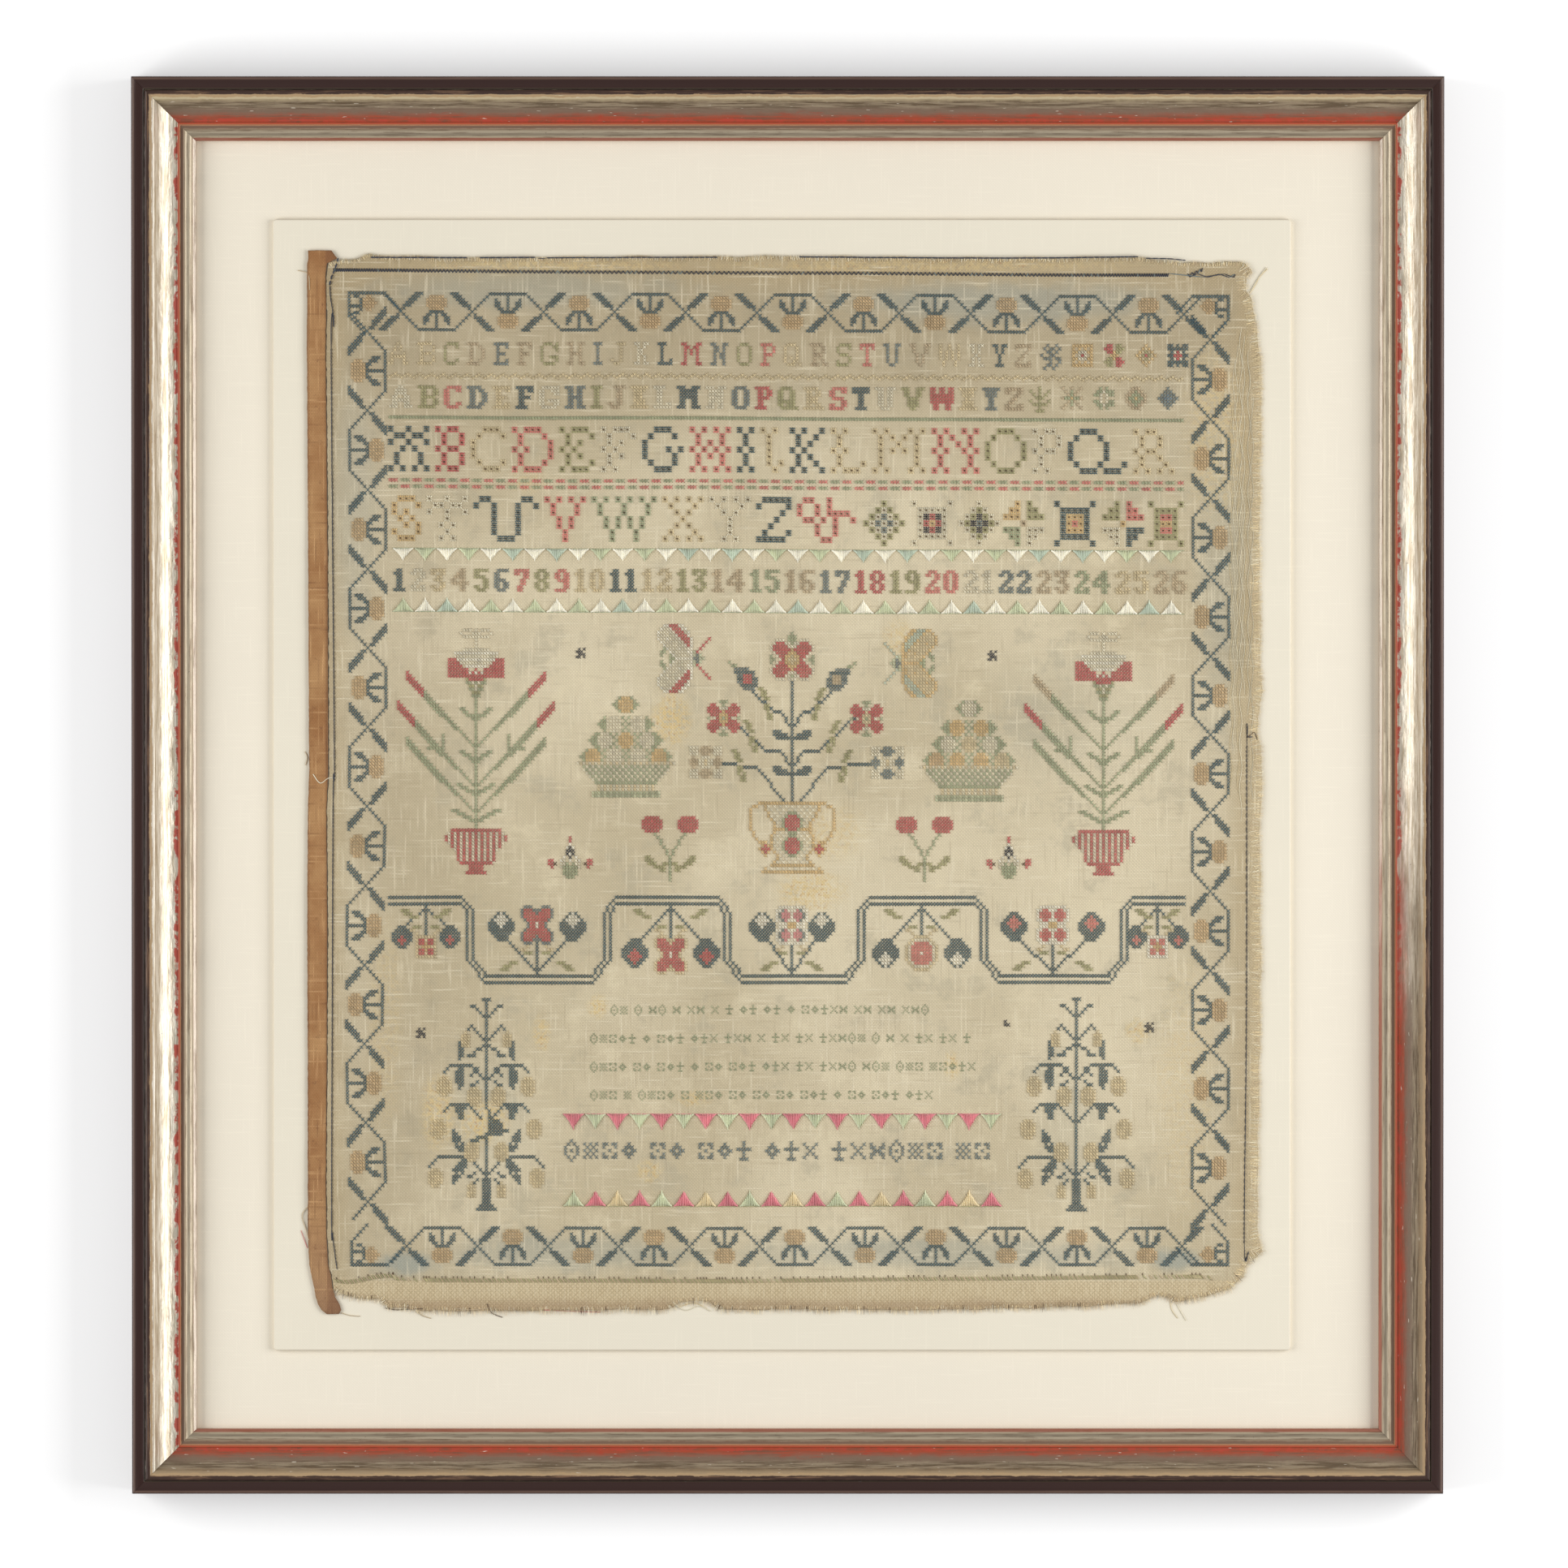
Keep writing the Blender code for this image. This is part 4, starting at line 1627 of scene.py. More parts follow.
@dataclass
class Border:
    """The waving vine with its leaves and berries, and the four corners."""

    half: int = 24  # stitches from one turn of the vine to the next
    band: int = 12  # steps from the outer run to the inner one
    run_reach: int = 6
    turns: int = 11  # whole runs along each side
    top: float = 210.15 * MM
    bottom: float = -205.0 * MM
    top_start: float = -165.2 * MM  # first crossing of the upper side, and its run to the last
    top_span: float = 334.627 * MM
    bottom_start: float = -162.8 * MM
    bottom_span: float = 331.6 * MM
    side_ends: tuple[tuple[int, float, float], ...] = (
        (-1, 193.9, -178.2), (1, 191.7, -180.7),
    )  # the side, and the heights of its first and last crossings
    left: tuple[Point, ...] = (
        (220.0, -187.3), (30.0, -187.1), (-60.0, -188.3), (-105.0, -188.7), (-150.0, -187.8),
        (-190.0, -186.6), (-220.0, -186.0),
    )  # heights and places of the outer line on the left, which has pulled out of true
    step_v: float = 1.3 * MM  # from row to row across the border's lower side
    right: float = 188.3 * MM
    calyx: tuple[tuple[int, tuple[int, ...]], ...] = (
        (1, (0,)), (2, (-4, 0, 4)), (3, (-4, -3, 0, 3, 4)), (4, (-4, -3, 0, 3, 4)),
        (5, (-3, -2, 0, 2, 3)), (6, (-2, -1, 0, 1, 2)),
    )
    berry_halves: tuple[int, ...] = (2, 3, 3, 3, 2)

    def edge(self, side: int, y: float) -> float:
        """Finds the outer line of a side.

        Args:
            side: -1 for the left side and 1 for the right.
            y: The height, in metres.

        Returns:
            Its place across, in metres.
        """
        if side > 0:
            return self.right
        for (upper, start), (lower, end) in zip(self.left, self.left[1:]):
            if y / MM >= lower:
                break
        share = (upper - y / MM) / (upper - lower)
        return (start + (end - start) * share) * MM

    def wave(self) -> Chart:
        """Charts one side: u along it, v from its outer line.

        Returns:
            The chart, with column 0 at the first crossing.
        """
        chart = Chart()
        for index in range(self.turns + 1):
            crossing = index * self.half
            inner_next = index % 2 == 0
            sign = 1 if inner_next else -1
            middle = self.band // 2
            for step in range(-5, 6):
                chart.put(crossing + step, middle + sign * step, "i")
            for step in range(1, middle + 1):
                for side in (-1, 1):
                    centre = crossing - side * step * sign
                    row = middle + side * step
                    for extra in (-1, 0, 1):
                        if step > 1 or extra == 0:
                            chart.put(centre + extra, row, "i")
            if index < self.turns:
                self.lobe(chart, crossing + self.half // 2, inner_next)
        return chart

    def lobe(self, chart: Chart, centre: int, inner: bool) -> None:
        """Charts a run of the vine with its calyx and berry.

        Args:
            chart: The chart.
            centre: The run's middle.
            inner: Whether it lies on the inner line.
        """
        line = self.band if inner else 0
        way = -1 if inner else 1
        for step in range(-self.run_reach, self.run_reach + 1):
            chart.put(centre + step, line, "i")
        for depth, places in self.calyx:
            for place in places:
                chart.put(centre + place, line + way * depth, "i")
        for depth, reach in enumerate(self.berry_halves, self.calyx[-1][0] + 1):
            for place in range(-reach, reach + 1):
                chart.put(centre + place, line + way * depth, "y")

    def corner(self) -> Chart:
        """Charts the top left corner: two bars, two slants, a calyx and a berry.

        Returns:
            The chart, from the corner's own cell.
        """
        chart = Chart().run((0, 0), (12, 0), "i").run((0, 0), (0, 7), "i")
        chart.run((13, 1), (17, 5), "i").run((1, 8), (5, 12), "i")
        chart.run((3, 1), (4, 2), "i").run((4, 2), (4, 5), "i").run((3, 6), (4, 5), "i")
        chart.run((1, 4), (4, 4), "i").run((2, 1), (3, 1), "i").run((2, 6), (3, 6), "i")
        for row, (first, last) in enumerate(((6, 7), (5, 8), (5, 9), (5, 8), (6, 7)), 1):
            chart.run((first, row), (last, row), "y")
        return chart

    def work(self, ground: Ground) -> None:
        """Works all four sides and corners.

        Args:
            ground: Takes the stitches.
        """
        stitches = sorted(self.wave().cells.items())
        count = self.turns * self.half
        for first, span, edge, step_v in (
            (self.top_start, self.top_span, self.top, -PITCH_X),
            (self.bottom_start, self.bottom_span, self.bottom, self.step_v),
        ):
            for (u, v), thread in stitches:
                ground.cross(first + u * span / count, edge + v * step_v, thread, PITCH_X,
                             abs(step_v))
        for side, first_y, last_y in self.side_ends:
            step_y = (first_y - last_y) / count * MM
            for (u, v), thread in stitches:
                y = first_y * MM - u * step_y
                ground.cross(self.edge(side, y) - side * v * PITCH_X, y, thread, PITCH_X, step_y)
        corner = self.corner()
        ground.lay(corner, self.edge(-1, self.top), self.top)
        ground.lay(corner.turned(flip_x=True), self.right, self.top)
        ground.lay(corner.turned(flip_y=True), self.edge(-1, self.bottom), self.bottom)
        ground.lay(corner.turned(flip_x=True, flip_y=True), self.right, self.bottom)


# The worked field

@dataclass
class Lettering:
    """Alphabets, figures and the lines between them."""

    left: float = -170.0 * MM
    right: float = 169.8 * MM
    lines: tuple[Line, ...] = (
        Line(ALPHABET, "ssvtbtvtbscirbvostvobtscit", -170.8, 103.8, 189.6, Kind.THIN),
        Line("", "", 107.9, 171.2, 189.9, Kind.THIN,
             ("sprig", "square", "petals", "lozenge", "box")),
        Line(ALPHABET, "cvobsicbvtscicbrvsoicvrsbt", -170.4, 100.6, 171.0, Kind.BOLD),
        Line("", "", 103.3, 166.9, 171.6, Kind.THIN, ("twig", "star", "leafy", "round", "bud")),
        Line(ALPHABET[:18], "irsovcioisissovcis", -170.9, 165.4, 153.7, Kind.EYELET),
        Line("STUVWXYZ&", "gcioescio", -169.4, 29.4, 124.0, Kind.EYELET),
        Line([str(n) for n in range(1, 27)], "icstvbovosisvtetbrvocbtest", -168.6, 170.4, 92.8,
             Kind.BOLD),
    )

    def rows(self, ground: Ground, tops: Sequence[float], pattern: str, shift: int = 0) -> None:
        """Works straight rows of stitches across the field.

        Args:
            ground: Takes the stitches.
            tops: Heights of the rows, in millimetres.
            pattern: Threads, repeated along a row, with dots where none is worked.
            shift: Steps by which each next row starts later in the pattern.
        """
        count = int((self.right - self.left) / PITCH_X)
        for index, top in enumerate(tops):
            for step in range(count):
                letter = pattern[(step + index * shift) % len(pattern)]
                if letter != ".":
                    ground.cross(self.left + step * PITCH_X, top * MM, Thread.of(letter))

    def work(self, ground: Ground) -> None:
        """Works every line and divider."""
        for line in self.lines:
            ground.letter_line(line)
        count = int((self.right - self.left) / PITCH_X)
        for step in range(count):
            up = (0.0, 0.5, 1.0, 0.5)[step % 4] * PITCH_Y
            ground.cross(self.left + step * PITCH_X, 174.4 * MM + up, Thread.STRAW)
        self.rows(ground, (157.3,), "e")
        self.rows(ground, (130.5, 127.8), "ooo.eee.", 4)


class TriangleRow(NamedTuple):
    """A row of satin-stitch triangles, in millimetres."""

    left: float
    right: float
    base: float
    depth: float  # below the base, or above it if negative
    pitch: float
    letters: str
    edge: str


@dataclass
class Motifs:
    """Flower pots, butterflies, baskets, the vase, the meander, the trees and their fillers."""

    eyelet_top: float = 121.3
    eyelet_lefts: tuple[float, ...] = (33.6, 54.1, 74.1, 93.1, 115.1, 135.7, 155.2)
    bands: tuple[TriangleRow, ...] = (
        TriangleRow(-169.0, 168.4, 101.5, 4.9, 9.36, "wmwmwawa", "e"),
        TriangleRow(-169.0, 168.4, 74.4, -5.4, 9.36, "mwawmwmw", "e"),
        TriangleRow(-96.2, 91.7, -140.5, 6.2, 9.4, "pmpm", "p"),
        TriangleRow(-96.2, 91.7, -180.0, -6.2, 9.4, "mpsp", "v"),
    )
    satin_threads: int = 13  # in each triangle
    satin_radius: float = 0.4 * MM
    # painted sheen: satin threads are painted brighter than their thread
    satin_sheen: float = 1.14
    satin_base: float = 0.49  # reach of the outermost thread's two ends, against the pitch
    satin_point: float = 0.38

    def satin(self, ground: Ground, band: TriangleRow) -> None:
        """Works a row of triangles in straight stitches that fan from the point.

        Args:
            ground: Takes the strands.
            band: The row.
        """
        count = round((band.right - band.left) / band.pitch)
        pitch = (band.right - band.left) / count
        for index in range(count):
            thread = Thread.of(band.letters[index % len(band.letters)])
            middle = band.left + (index + 0.5) * pitch
            for step in range(self.satin_threads):
                share = (step + 0.5) / self.satin_threads * 2 - 1
                foot = band.depth * (1 - abs(share)) * ground.stray.uniform(0.94, 1.06)
                foot += math.copysign(self.satin_radius / MM, foot)
                start = (middle + share * pitch * self.satin_base, band.base)
                end = (middle + share * pitch * self.satin_point, band.base - foot)
                ground.straight(self.mm(start), self.mm(end), thread, self.satin_radius,
                                self.satin_sheen)
        edge = Thread.of(band.edge)
        steps = round((band.right - band.left) / 2.4)
        for step in range(steps):
            x = band.left + step * 2.4
            ground.straight(self.mm((x, band.base)), self.mm((x + 2.3, band.base)), edge, 0.2 * MM)

    def mm(self, place: Point) -> Point:
        """Turns millimetres into metres."""
        return place[0] * MM, place[1] * MM

    def plant(self, last_tip: str) -> Chart:
        """Charts a pot with its tall leafy stem and crowned flower.

        Args:
            last_tip: Thread of the uppermost leaves' tips.

        Returns:
            The chart, from the top of the flower.
        """
        chart = Chart().run((0, 16), (0, 61), "e").run((0, 0), (0, 5), "c")
        chart.path(((-1, 1), (-3, 0), (-5, 1), (-3, 2), (-1, 2)), "c")
        for foot, reach in ((59, 8), (51, 6), (41, 5), (28, 5)):
            chart.run((-1, foot - 1), (-reach, foot - 4), "e", 2)
        for foot, reach, tip in ((56, 23, "e"), (48, 26, "r"), (36, 23, last_tip)):
            chart.run((-1, foot - 1), (-reach, foot - reach), "e")
            chart.run((-7, foot - 6), (-reach, foot - reach + 1), "e")
            chart.run((-12, foot - 10), (-reach, foot - reach + 2), "e")
            for row in range(foot - reach, foot - reach + 3):
                chart.run((5 - reach, row + 5), (-reach, row), tip)
        chart.run((-11, 32), (-11, 36), "e").run((-16, 36), (-11, 36), "e")
        for row, half in enumerate((3, 3, 2, 2, 1, 1), 15):
            chart.run((-half, row), (0, row), "v" if row % 2 else "e")
        chart.run((-1, 16), (0, 18), "c")
        for row, half in enumerate((4, 7, 7, 6, 5, 3), 6):
            chart.run((-half, row), (0, row), "w" if row % 2 else "c")
        for row, inner in enumerate((7, 6, 5, 3, 0, 0, 0), 9):
            chart.run((-9 if row < 15 else -2, row), (-inner, row), "r")
        chart.run((0, 12), (0, 12), "r").put(-2, 13, "w")
        chart.put(0, 13, "w")
        for row, half in enumerate((8, 9, 10, 10, 9, 8, 7, 6, 6, 6, 5, 2, 2, 3), 61):
            for column in range(-half, 1):
                stripe = 61 < row < 71 and column % 2
                chart.put(column, row, "c" if stripe else "r")
        return chart.mirrored()

    def basket(self, tiers: Sequence[str]) -> Chart:
        """Charts a basket heaped with fruit.

        Args:
            tiers: Threads of the fruits, from the top tier down.

        Returns:
            The chart, from the top fruit's row.
        """
        chart = Chart()
        rows = (3, 9, 14, 19)
        for row, half in zip(rows, (4, 9, 12, 15)):
            for down in range(-2, 3):
                for column in range(abs(down) - half, half + 1 - abs(down)):
                    if abs(column) > half - 3 or (column + down) % 2:
                        chart.put(column, row + down, "e")
        for row, fruits in zip(rows, tiers):
            for index, letter in enumerate(fruits):
                chart.disc((index - (len(fruits) - 1) / 2) * 7.4, row, 2.7, letter)
        chart.levels(21, (16,), "cs").levels(22, (14, 14, 13, 12, 11), "ec")
        chart.levels(23, (14,), "ce").levels(25, (12,), "ce").levels(27, (10,), "e")
        return chart.levels(28, (9, 9), "cs").levels(30, (11, 11), "em")

    def vase(self) -> Chart:
        """Charts the two-handled vase with its branching stem of flowers.

        Returns:
            The chart, from the top flower's row.
        """
        chart = Chart().run((0, 12), (0, 50), "i")
        chart.path(((-1, 26), (-4, 22), (-6, 22), (-13, 16)), "i")
        chart.path(((-1, 38), (-4, 34), (-9, 34), (-19, 25)), "i")
        chart.path(((-2, 50), (-12, 39), (-25, 38)), "i")
        for row in (29, 40):
            for down, (first, last) in enumerate(((-6, -4), (-6, -2), (-5, -1)), row - 1):
                chart.run((first, down), (last, down), "i")
        for column, row in ((-9, 19), (-14, 29), (-18, 38)):
            chart.run((column - 2, row - 4), (column, row - 1), "v", 2)
            chart.run((column, row + 1), (column + 1, row + 5), "v", 2)
        half_widths = (9, 9, 9, 8, 8, 7, 6, 6, 6, 6, 7, 7, 7, 7, 7, 6, 5, 5, 6, 7, 9, 10)
        for row, half in enumerate(half_widths, 50):
            for column in range(-half, 1):
                if column <= -half or row in (50, 58, 69, 71):
                    chart.put(column, row, "g")
                elif (column + row) % 2:
                    chart.put(column, row, "c")
        for row in (56, 63):
            chart.disc(0, row, 3.5, "rre")
        chart.path(((-9, 50), (-13, 51), (-14, 53), (-14, 58), (-12, 61), (-10, 62)), "g")
        chart.disc(-9, 64, 2.2, "rg")
        chart = chart.mirrored()
        for side, centre in ((-1, "r"), (1, "t")):
            for down, (first, last) in enumerate(
                ((15, 19), (13, 19), (13, 18), (12, 18), (12, 18), (12, 17), (13, 16)), 9
            ):
                chart.run((side * first, down), (side * last, down), "b" if down % 2 else "i")
            chart.path(((side * 19, 8), (side * 21, 7)), "e")
            for down in (11, 12, 13):
                chart.run((side * 14, down), (side * 16, down), centre)
        self.graft(chart, Chart().half_rows(CROWN_FLOWER), 0, -2)
        rose = Chart().half_rows(ROSE_FLOWER)
        self.graft(chart, rose, -23, 19)
        chart.path(((20, 24), (22, 24)), "i").path(((25, 38), (28, 38)), "i")
        self.graft(chart, rose.recoloured({"g": "s"}), 25, 19)
        self.graft(chart, Chart().half_rows(CROSS_FLOWER).recoloured({"g": "t"}), -29, 33)
        self.graft(chart, Chart().half_rows(CROSS_FLOWER).recoloured({"g": "b"}), 32, 33)
        return chart

    def graft(self, chart: Chart, part: Chart, column: int, row: int) -> None:
        """Works one chart into another, at this column and row."""
        for (across, down), thread in part.cells.items():
            chart.cells[column + across, row + down] = thread

    def spray(self, reach: int, length: int, fruit: str, flower: Chart) -> Chart:
        """Charts a spray of a flower between two round fruits, growing upwards from row 0.

        Args:
            reach: Columns from the middle to a fruit.
            length: Rows from the foot to a fruit's middle.
            fruit: Thread of the fruits' middles.
            flower: The flower, from its top row.

        Returns:
            The chart.
        """
        small = reach < 10
        tall = max(row for _, row in flower.cells)
        middle = length + (3 if small else 1)
        chart = Chart().run((0, -1), (0, -middle), "i")
        knee = length - 4
        chart.run((-1, -2), (2 - reach, -knee), "i")
        size, core = (3.2, 1.2) if small else (4.15, 2.05)
        chart.disc(-reach, -length, size, "i")
        open_end = 0.5 if fruit == "w" else 0.25
        chart.disc(-reach, round(-length - size * open_end), core, fruit)
        for column, row, wide in ((-reach, -2, 2), (1 - reach, -3, 2), (3 - reach, -4, 2)):
            chart.run((column, row), (column + wide, row), "v")
        chart.run((-4, -7), (-2, -7), "v").run((-5, -8), (-3, -9), "s")
        chart = chart.mirrored()
        self.graft(chart, flower, 0, -middle - tall // 2)
        return chart

    def meander(self, ground: Ground) -> None:
        """Works the double meander and a spray in each of its lobes."""
        left, top = -170.3 * MM, -47.9 * MM
        turns = (27.3, 72.8, 113.2, 157.6, 199.4, 245.6)
        last, depth, cut = 266.5, 24, 5
        chart = Chart()
        for side, level in ((1, 0), (-1, 2)):
            places: list[Point] = [(0, level)]
            for index, turn in enumerate(turns):
                way = 1 if index % 2 == 0 else -1
                near, far = (level, depth + level) if way > 0 else (depth + level, level)
                first, second = (cut, depth - cut) if way > 0 else (depth - cut, cut)
                column = turn + side * way
                places += [(column - 0.8 * abs(first - near), near), (column, first),
                           (column, second), (column + 0.8 * abs(far - second), far)]
            places.append((last, level))
            chart.path(places, "i")
        ground.lay(chart, left, top)
        lobed, four = Chart().half_rows(LOBED_FLOWER), Chart().half_rows(FOUR_PETALS)
        round_rose = Chart().disc(0, 6, 5.6, "wooocs")
        little = Chart().half_rows(LITTLE_FLOWER)
        for middle, up, reach, length, fruit, flower in (
            (12.3, False, 8, 10, "r", little), (49.5, True, 12, 15, "w", lobed),
            (94.1, False, 12, 15, "r", lobed.recoloured({"b": "s"})),
            (134.7, True, 10, 15, "w", four.recoloured({"o": "b", "r": "p"})),
            (178.2, False, 12, 15, "w", round_rose), (222.1, True, 13, 15, "o", four),
            (257.1, False, 7, 10, "o", little.recoloured({"r": "o", "s": "w"})),
        ):
            spray = self.spray(reach, length, fruit, flower)
            row = depth if up else 2
            spray = spray if up else spray.turned(flip_y=True)
            ground.lay(spray, left + middle * PITCH_X, top - row * PITCH_Y)

    def tree(self, torn: bool) -> Chart:
        """Charts a fruit tree.

        Args:
            torn: Whether its trunk is torn and its threads are drawn into a clump.

        Returns:
            The chart, from its top.
        """
        chart = Chart().run((0, 0), (0, 64), "i").run((-1, 0), (0, 0), "i")
        chart.run((-1, 5), (-4, 2), "i").put(-5, 2, "i")
        chart.path(((-1, 12), (-4, 9), (-5, 8), (-6, 9), (-7, 10)), "i")
        chart.run((-1, 14), (-4, 16), "i").run((-6, 17), (-4, 17), "i")
        chart.path(((0, 25), (-5, 20), (-12, 20), (-14, 22)), "i")
        chart.path(((-3, 25), (-5, 26)), "i").path(((-3, 21), (-5, 23)), "i")
        chart.path(((0, 38), (-5, 33), (-6, 32), (-12, 32), (-14, 34)), "i")
        chart.path(((0, 54), (-6, 48), (-16, 48), (-19, 51)), "i")
        chart.path(((-4, 53), (-6, 54)), "i").path(((-3, 55), (-5, 57)), "i")
        for column, top, lean, widths in (
            (-9, 13, 0.0, (1, 2, 2, 2, 2, 1)), (-9, 21, 0.0, (2, 3, 3, 3, 3, 2, 1)),
            (-9, 33, 0.0, (4, 3, 2, 2)), (-11, 40, 0.35, (1, 2, 3, 3, 3, 3, 2)),
            (-8, 49, -0.4, (2, 3, 4, 4, 3, 3, 2, 1)),
        ):
            for step, width in enumerate(widths):
                first = column + lean * step - width / 2 + 0.6
                chart.run((first, top + step), (first + width - 1, top + step), "i")
        chart.run((-1, 55), (-1, 63), "i").run((-3, 64), (0, 64), "i").run((-2, 63), (0, 63), "i")
        for column, row, half in (
            (-7, 12, 1), (-14, 26, 2), (-4, 29, 2), (-16, 39, 2), (-5, 46, 2), (-17, 54, 2),
            (-5, 58, 1),
        ):
            halves = (half - 1, half, half, half, half, half - 1)[:half + 4]
            for down, wide in enumerate(halves, row - 2):
                chart.run((column - wide, down), (column + wide, down), "s")
        chart = chart.mirrored()
        if torn:
            for column in (-1, 0, 1):
                for row in range(33, 41):
                    chart.cells.pop((column, row), None)
            chart.path(((0, 32), (1, 34), (1, 38)), "i").disc(3, 39, 2.4, "i")
            chart.run((-5, 43), (1, 41), "i", 2).run((4, 41), (6, 40), "i", 2)
        return chart

    def filler_line(self, ground: Ground, left: float, right: float, y: float,
                    letter: str, size: float, gaps: Sequence[int]) -> None:
        """Works a line of small ornaments.

        Args:
            ground: Takes the stitches.
            left: Its start, in millimetres.
            right: Its end, in millimetres.
            y: Its middle, in millimetres.
            letter: Its thread.
            size: Size of a stitch against a full one.
            gaps: Counts of ornaments between wider spaces, repeated.
        """
        pitch_x, pitch_y = PITCH_X * size, PITCH_Y * size
        x, index, group = left * MM, 0, 0
        while x < right * MM - 4 * pitch_x:
            chart = Chart().rows(FILLERS[(index * 3 + group) % len(FILLERS)].replace("X", letter))
            height = max(row for _, row in chart.cells) + 1
            ground.lay(chart, x, y * MM + height / 2 * pitch_y, pitch_x, pitch_y)
            x += 6.4 * pitch_x
            index += 1
            if index % gaps[group % len(gaps)] == 0:
                x += 3.2 * pitch_x
                group += 1

    def pots_and_flowers(self, ground: Ground) -> None:
        """Works the field between the figures and the meander."""
        ground.lay(self.plant("r"), -133.2 * MM, 66.4 * MM)
        ground.lay(self.plant("t"), 135.0 * MM, 66.0 * MM)
        upper = Chart().rows(BUTTERFLY)
        middle = max(row for _, row in upper.cells)
        whole = upper.turned(flip_y=True)
        butterfly = Chart()
        self.graft(butterfly, upper, 0, -middle)
        self.graft(butterfly, whole, 0, middle)
        ground.lay(butterfly, -55.2 * MM, 54.5 * MM)
        gold = butterfly.recoloured({"w": "g", "c": "s", "r": "a"}).turned(flip_x=True)
        ground.lay(gold, 63.4 * MM, 53.0 * MM)
        ground.lay(self.basket(("g", "cc", "cgc", "gccg")), -69.2 * MM, 39.1 * MM)
        ground.lay(self.basket(("c", "gg", "csc", "yggs")), 77.6 * MM, 37.6 * MM)
        ground.lay(self.vase(), 1.9 * MM, 62.7 * MM)
        for x in (-50.4, 58.4):
            ground.lay(Chart().half_rows(TULIPS), x * MM, -13.9 * MM)
        for x in (-92.9, 94.4):
            ground.lay(Chart().half_rows(CORNER_SPRIG), x * MM, -22.4 * MM)
        star = Chart().rows(".n.n/nnn./.nnn/nn.n")
        for x, y in ((-90.0, 58.6), (85.8, 58.0), (-158.5, -104.0), (152.8, -102.0)):
            ground.lay(star, x * MM, y * MM, PITCH_X * 0.8, PITCH_Y * 0.8)
        ground.lay(Chart().rows("n./nn"), 93.0 * MM, -101.2 * MM)

    def trees_and_lines(self, ground: Ground) -> None:
        """Works the trees and the lines of ornaments between them."""
        for x, torn in ((-128.9, True), (123.4, False)):
            ground.lay(self.tree(torn), x * MM, -91.6 * MM)
        for left, right, y, gaps in (
            (-75.4, 64.0, -96.4, (2, 3, 5, 2)), (-84.1, 79.5, -108.6, (5, 2, 3, 4)),
            (-84.1, 80.5, -120.7, (4, 3, 3, 5)), (-84.1, 66.5, -132.8, (3, 2, 4, 3)),
        ):
            self.filler_line(ground, left, right, y, "e", FINE, gaps)
        self.filler_line(ground, -95.0, 92.7, -157.0, "b", 1.0, (4, 6, 3))

    def ringed_and_satin_motifs(self, ground: Ground) -> None:
        """Works the ringed motifs and the satin triangles."""
        for left, text in zip(self.eyelet_lefts, EYELET_MOTIFS):
            ground.eyelets(Chart().rows(text), left * MM, self.eyelet_top * MM)
        for band in self.bands:
            self.satin(ground, band)


# Cloth, tape and loose threads

def outline_of(node: str) -> list[Point]:
    """Reads the outline of a flat solid's upper face.

    Args:
        node: The solid's node.

    Returns:
        Its corners in order, anticlockwise.
    """
    bm = bmesh.new()
    bm.from_mesh(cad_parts[node].data)
    bmesh.ops.remove_doubles(bm, verts=bm.verts, dist=1e-5)
    bm.normal_update()
    upper = {face for face in bm.faces if face.normal.z > 0.9}
    rim = {}
    for edge in bm.edges:
        inside = [face for face in edge.link_faces if face in upper]
        if len(inside) == 1:
            loop = next(loop for loop in edge.link_loops if loop.face is inside[0])
            start, end = loop.vert, loop.link_loop_next.vert
            rim[start.index] = (end.index, (start.co.x, start.co.y))
    first = at = next(iter(rim))
    points = []
    while not points or at != first:
        at, point = rim[at]
        points.append(point)
    bm.free()
    return points


def inside(point: Point, outline: Sequence[Point]) -> bool:
    """Tells whether a point lies within an outline."""
    x, y = point
    odd = False
    for (x0, y0), (x1, y1) in zip(outline, (*outline[1:], outline[0])):
        if (y0 > y) != (y1 > y) and x < (x1 - x0) * (y - y0) / (y1 - y0) + x0:
            odd = not odd
    return odd


def along(outline: Sequence[Point], spacing: float) -> list[tuple[Point, Point]]:
    """Walks round an outline in even steps.

    Args:
        outline: Its corners, anticlockwise.
        spacing: The step, in metres.

    Returns:
        Pairs of a place and the outward direction there.
    """
    walked = []
    for (x0, y0), (x1, y1) in zip(outline, (*outline[1:], outline[0])):
        length = math.hypot(x1 - x0, y1 - y0)
        steps = max(1, round(length / spacing))
        out = ((y1 - y0) / length, (x0 - x1) / length)
        for step in range(steps):
            share = step / steps
            walked.append(((x0 + (x1 - x0) * share, y0 + (y1 - y0) * share), out))
    return walked


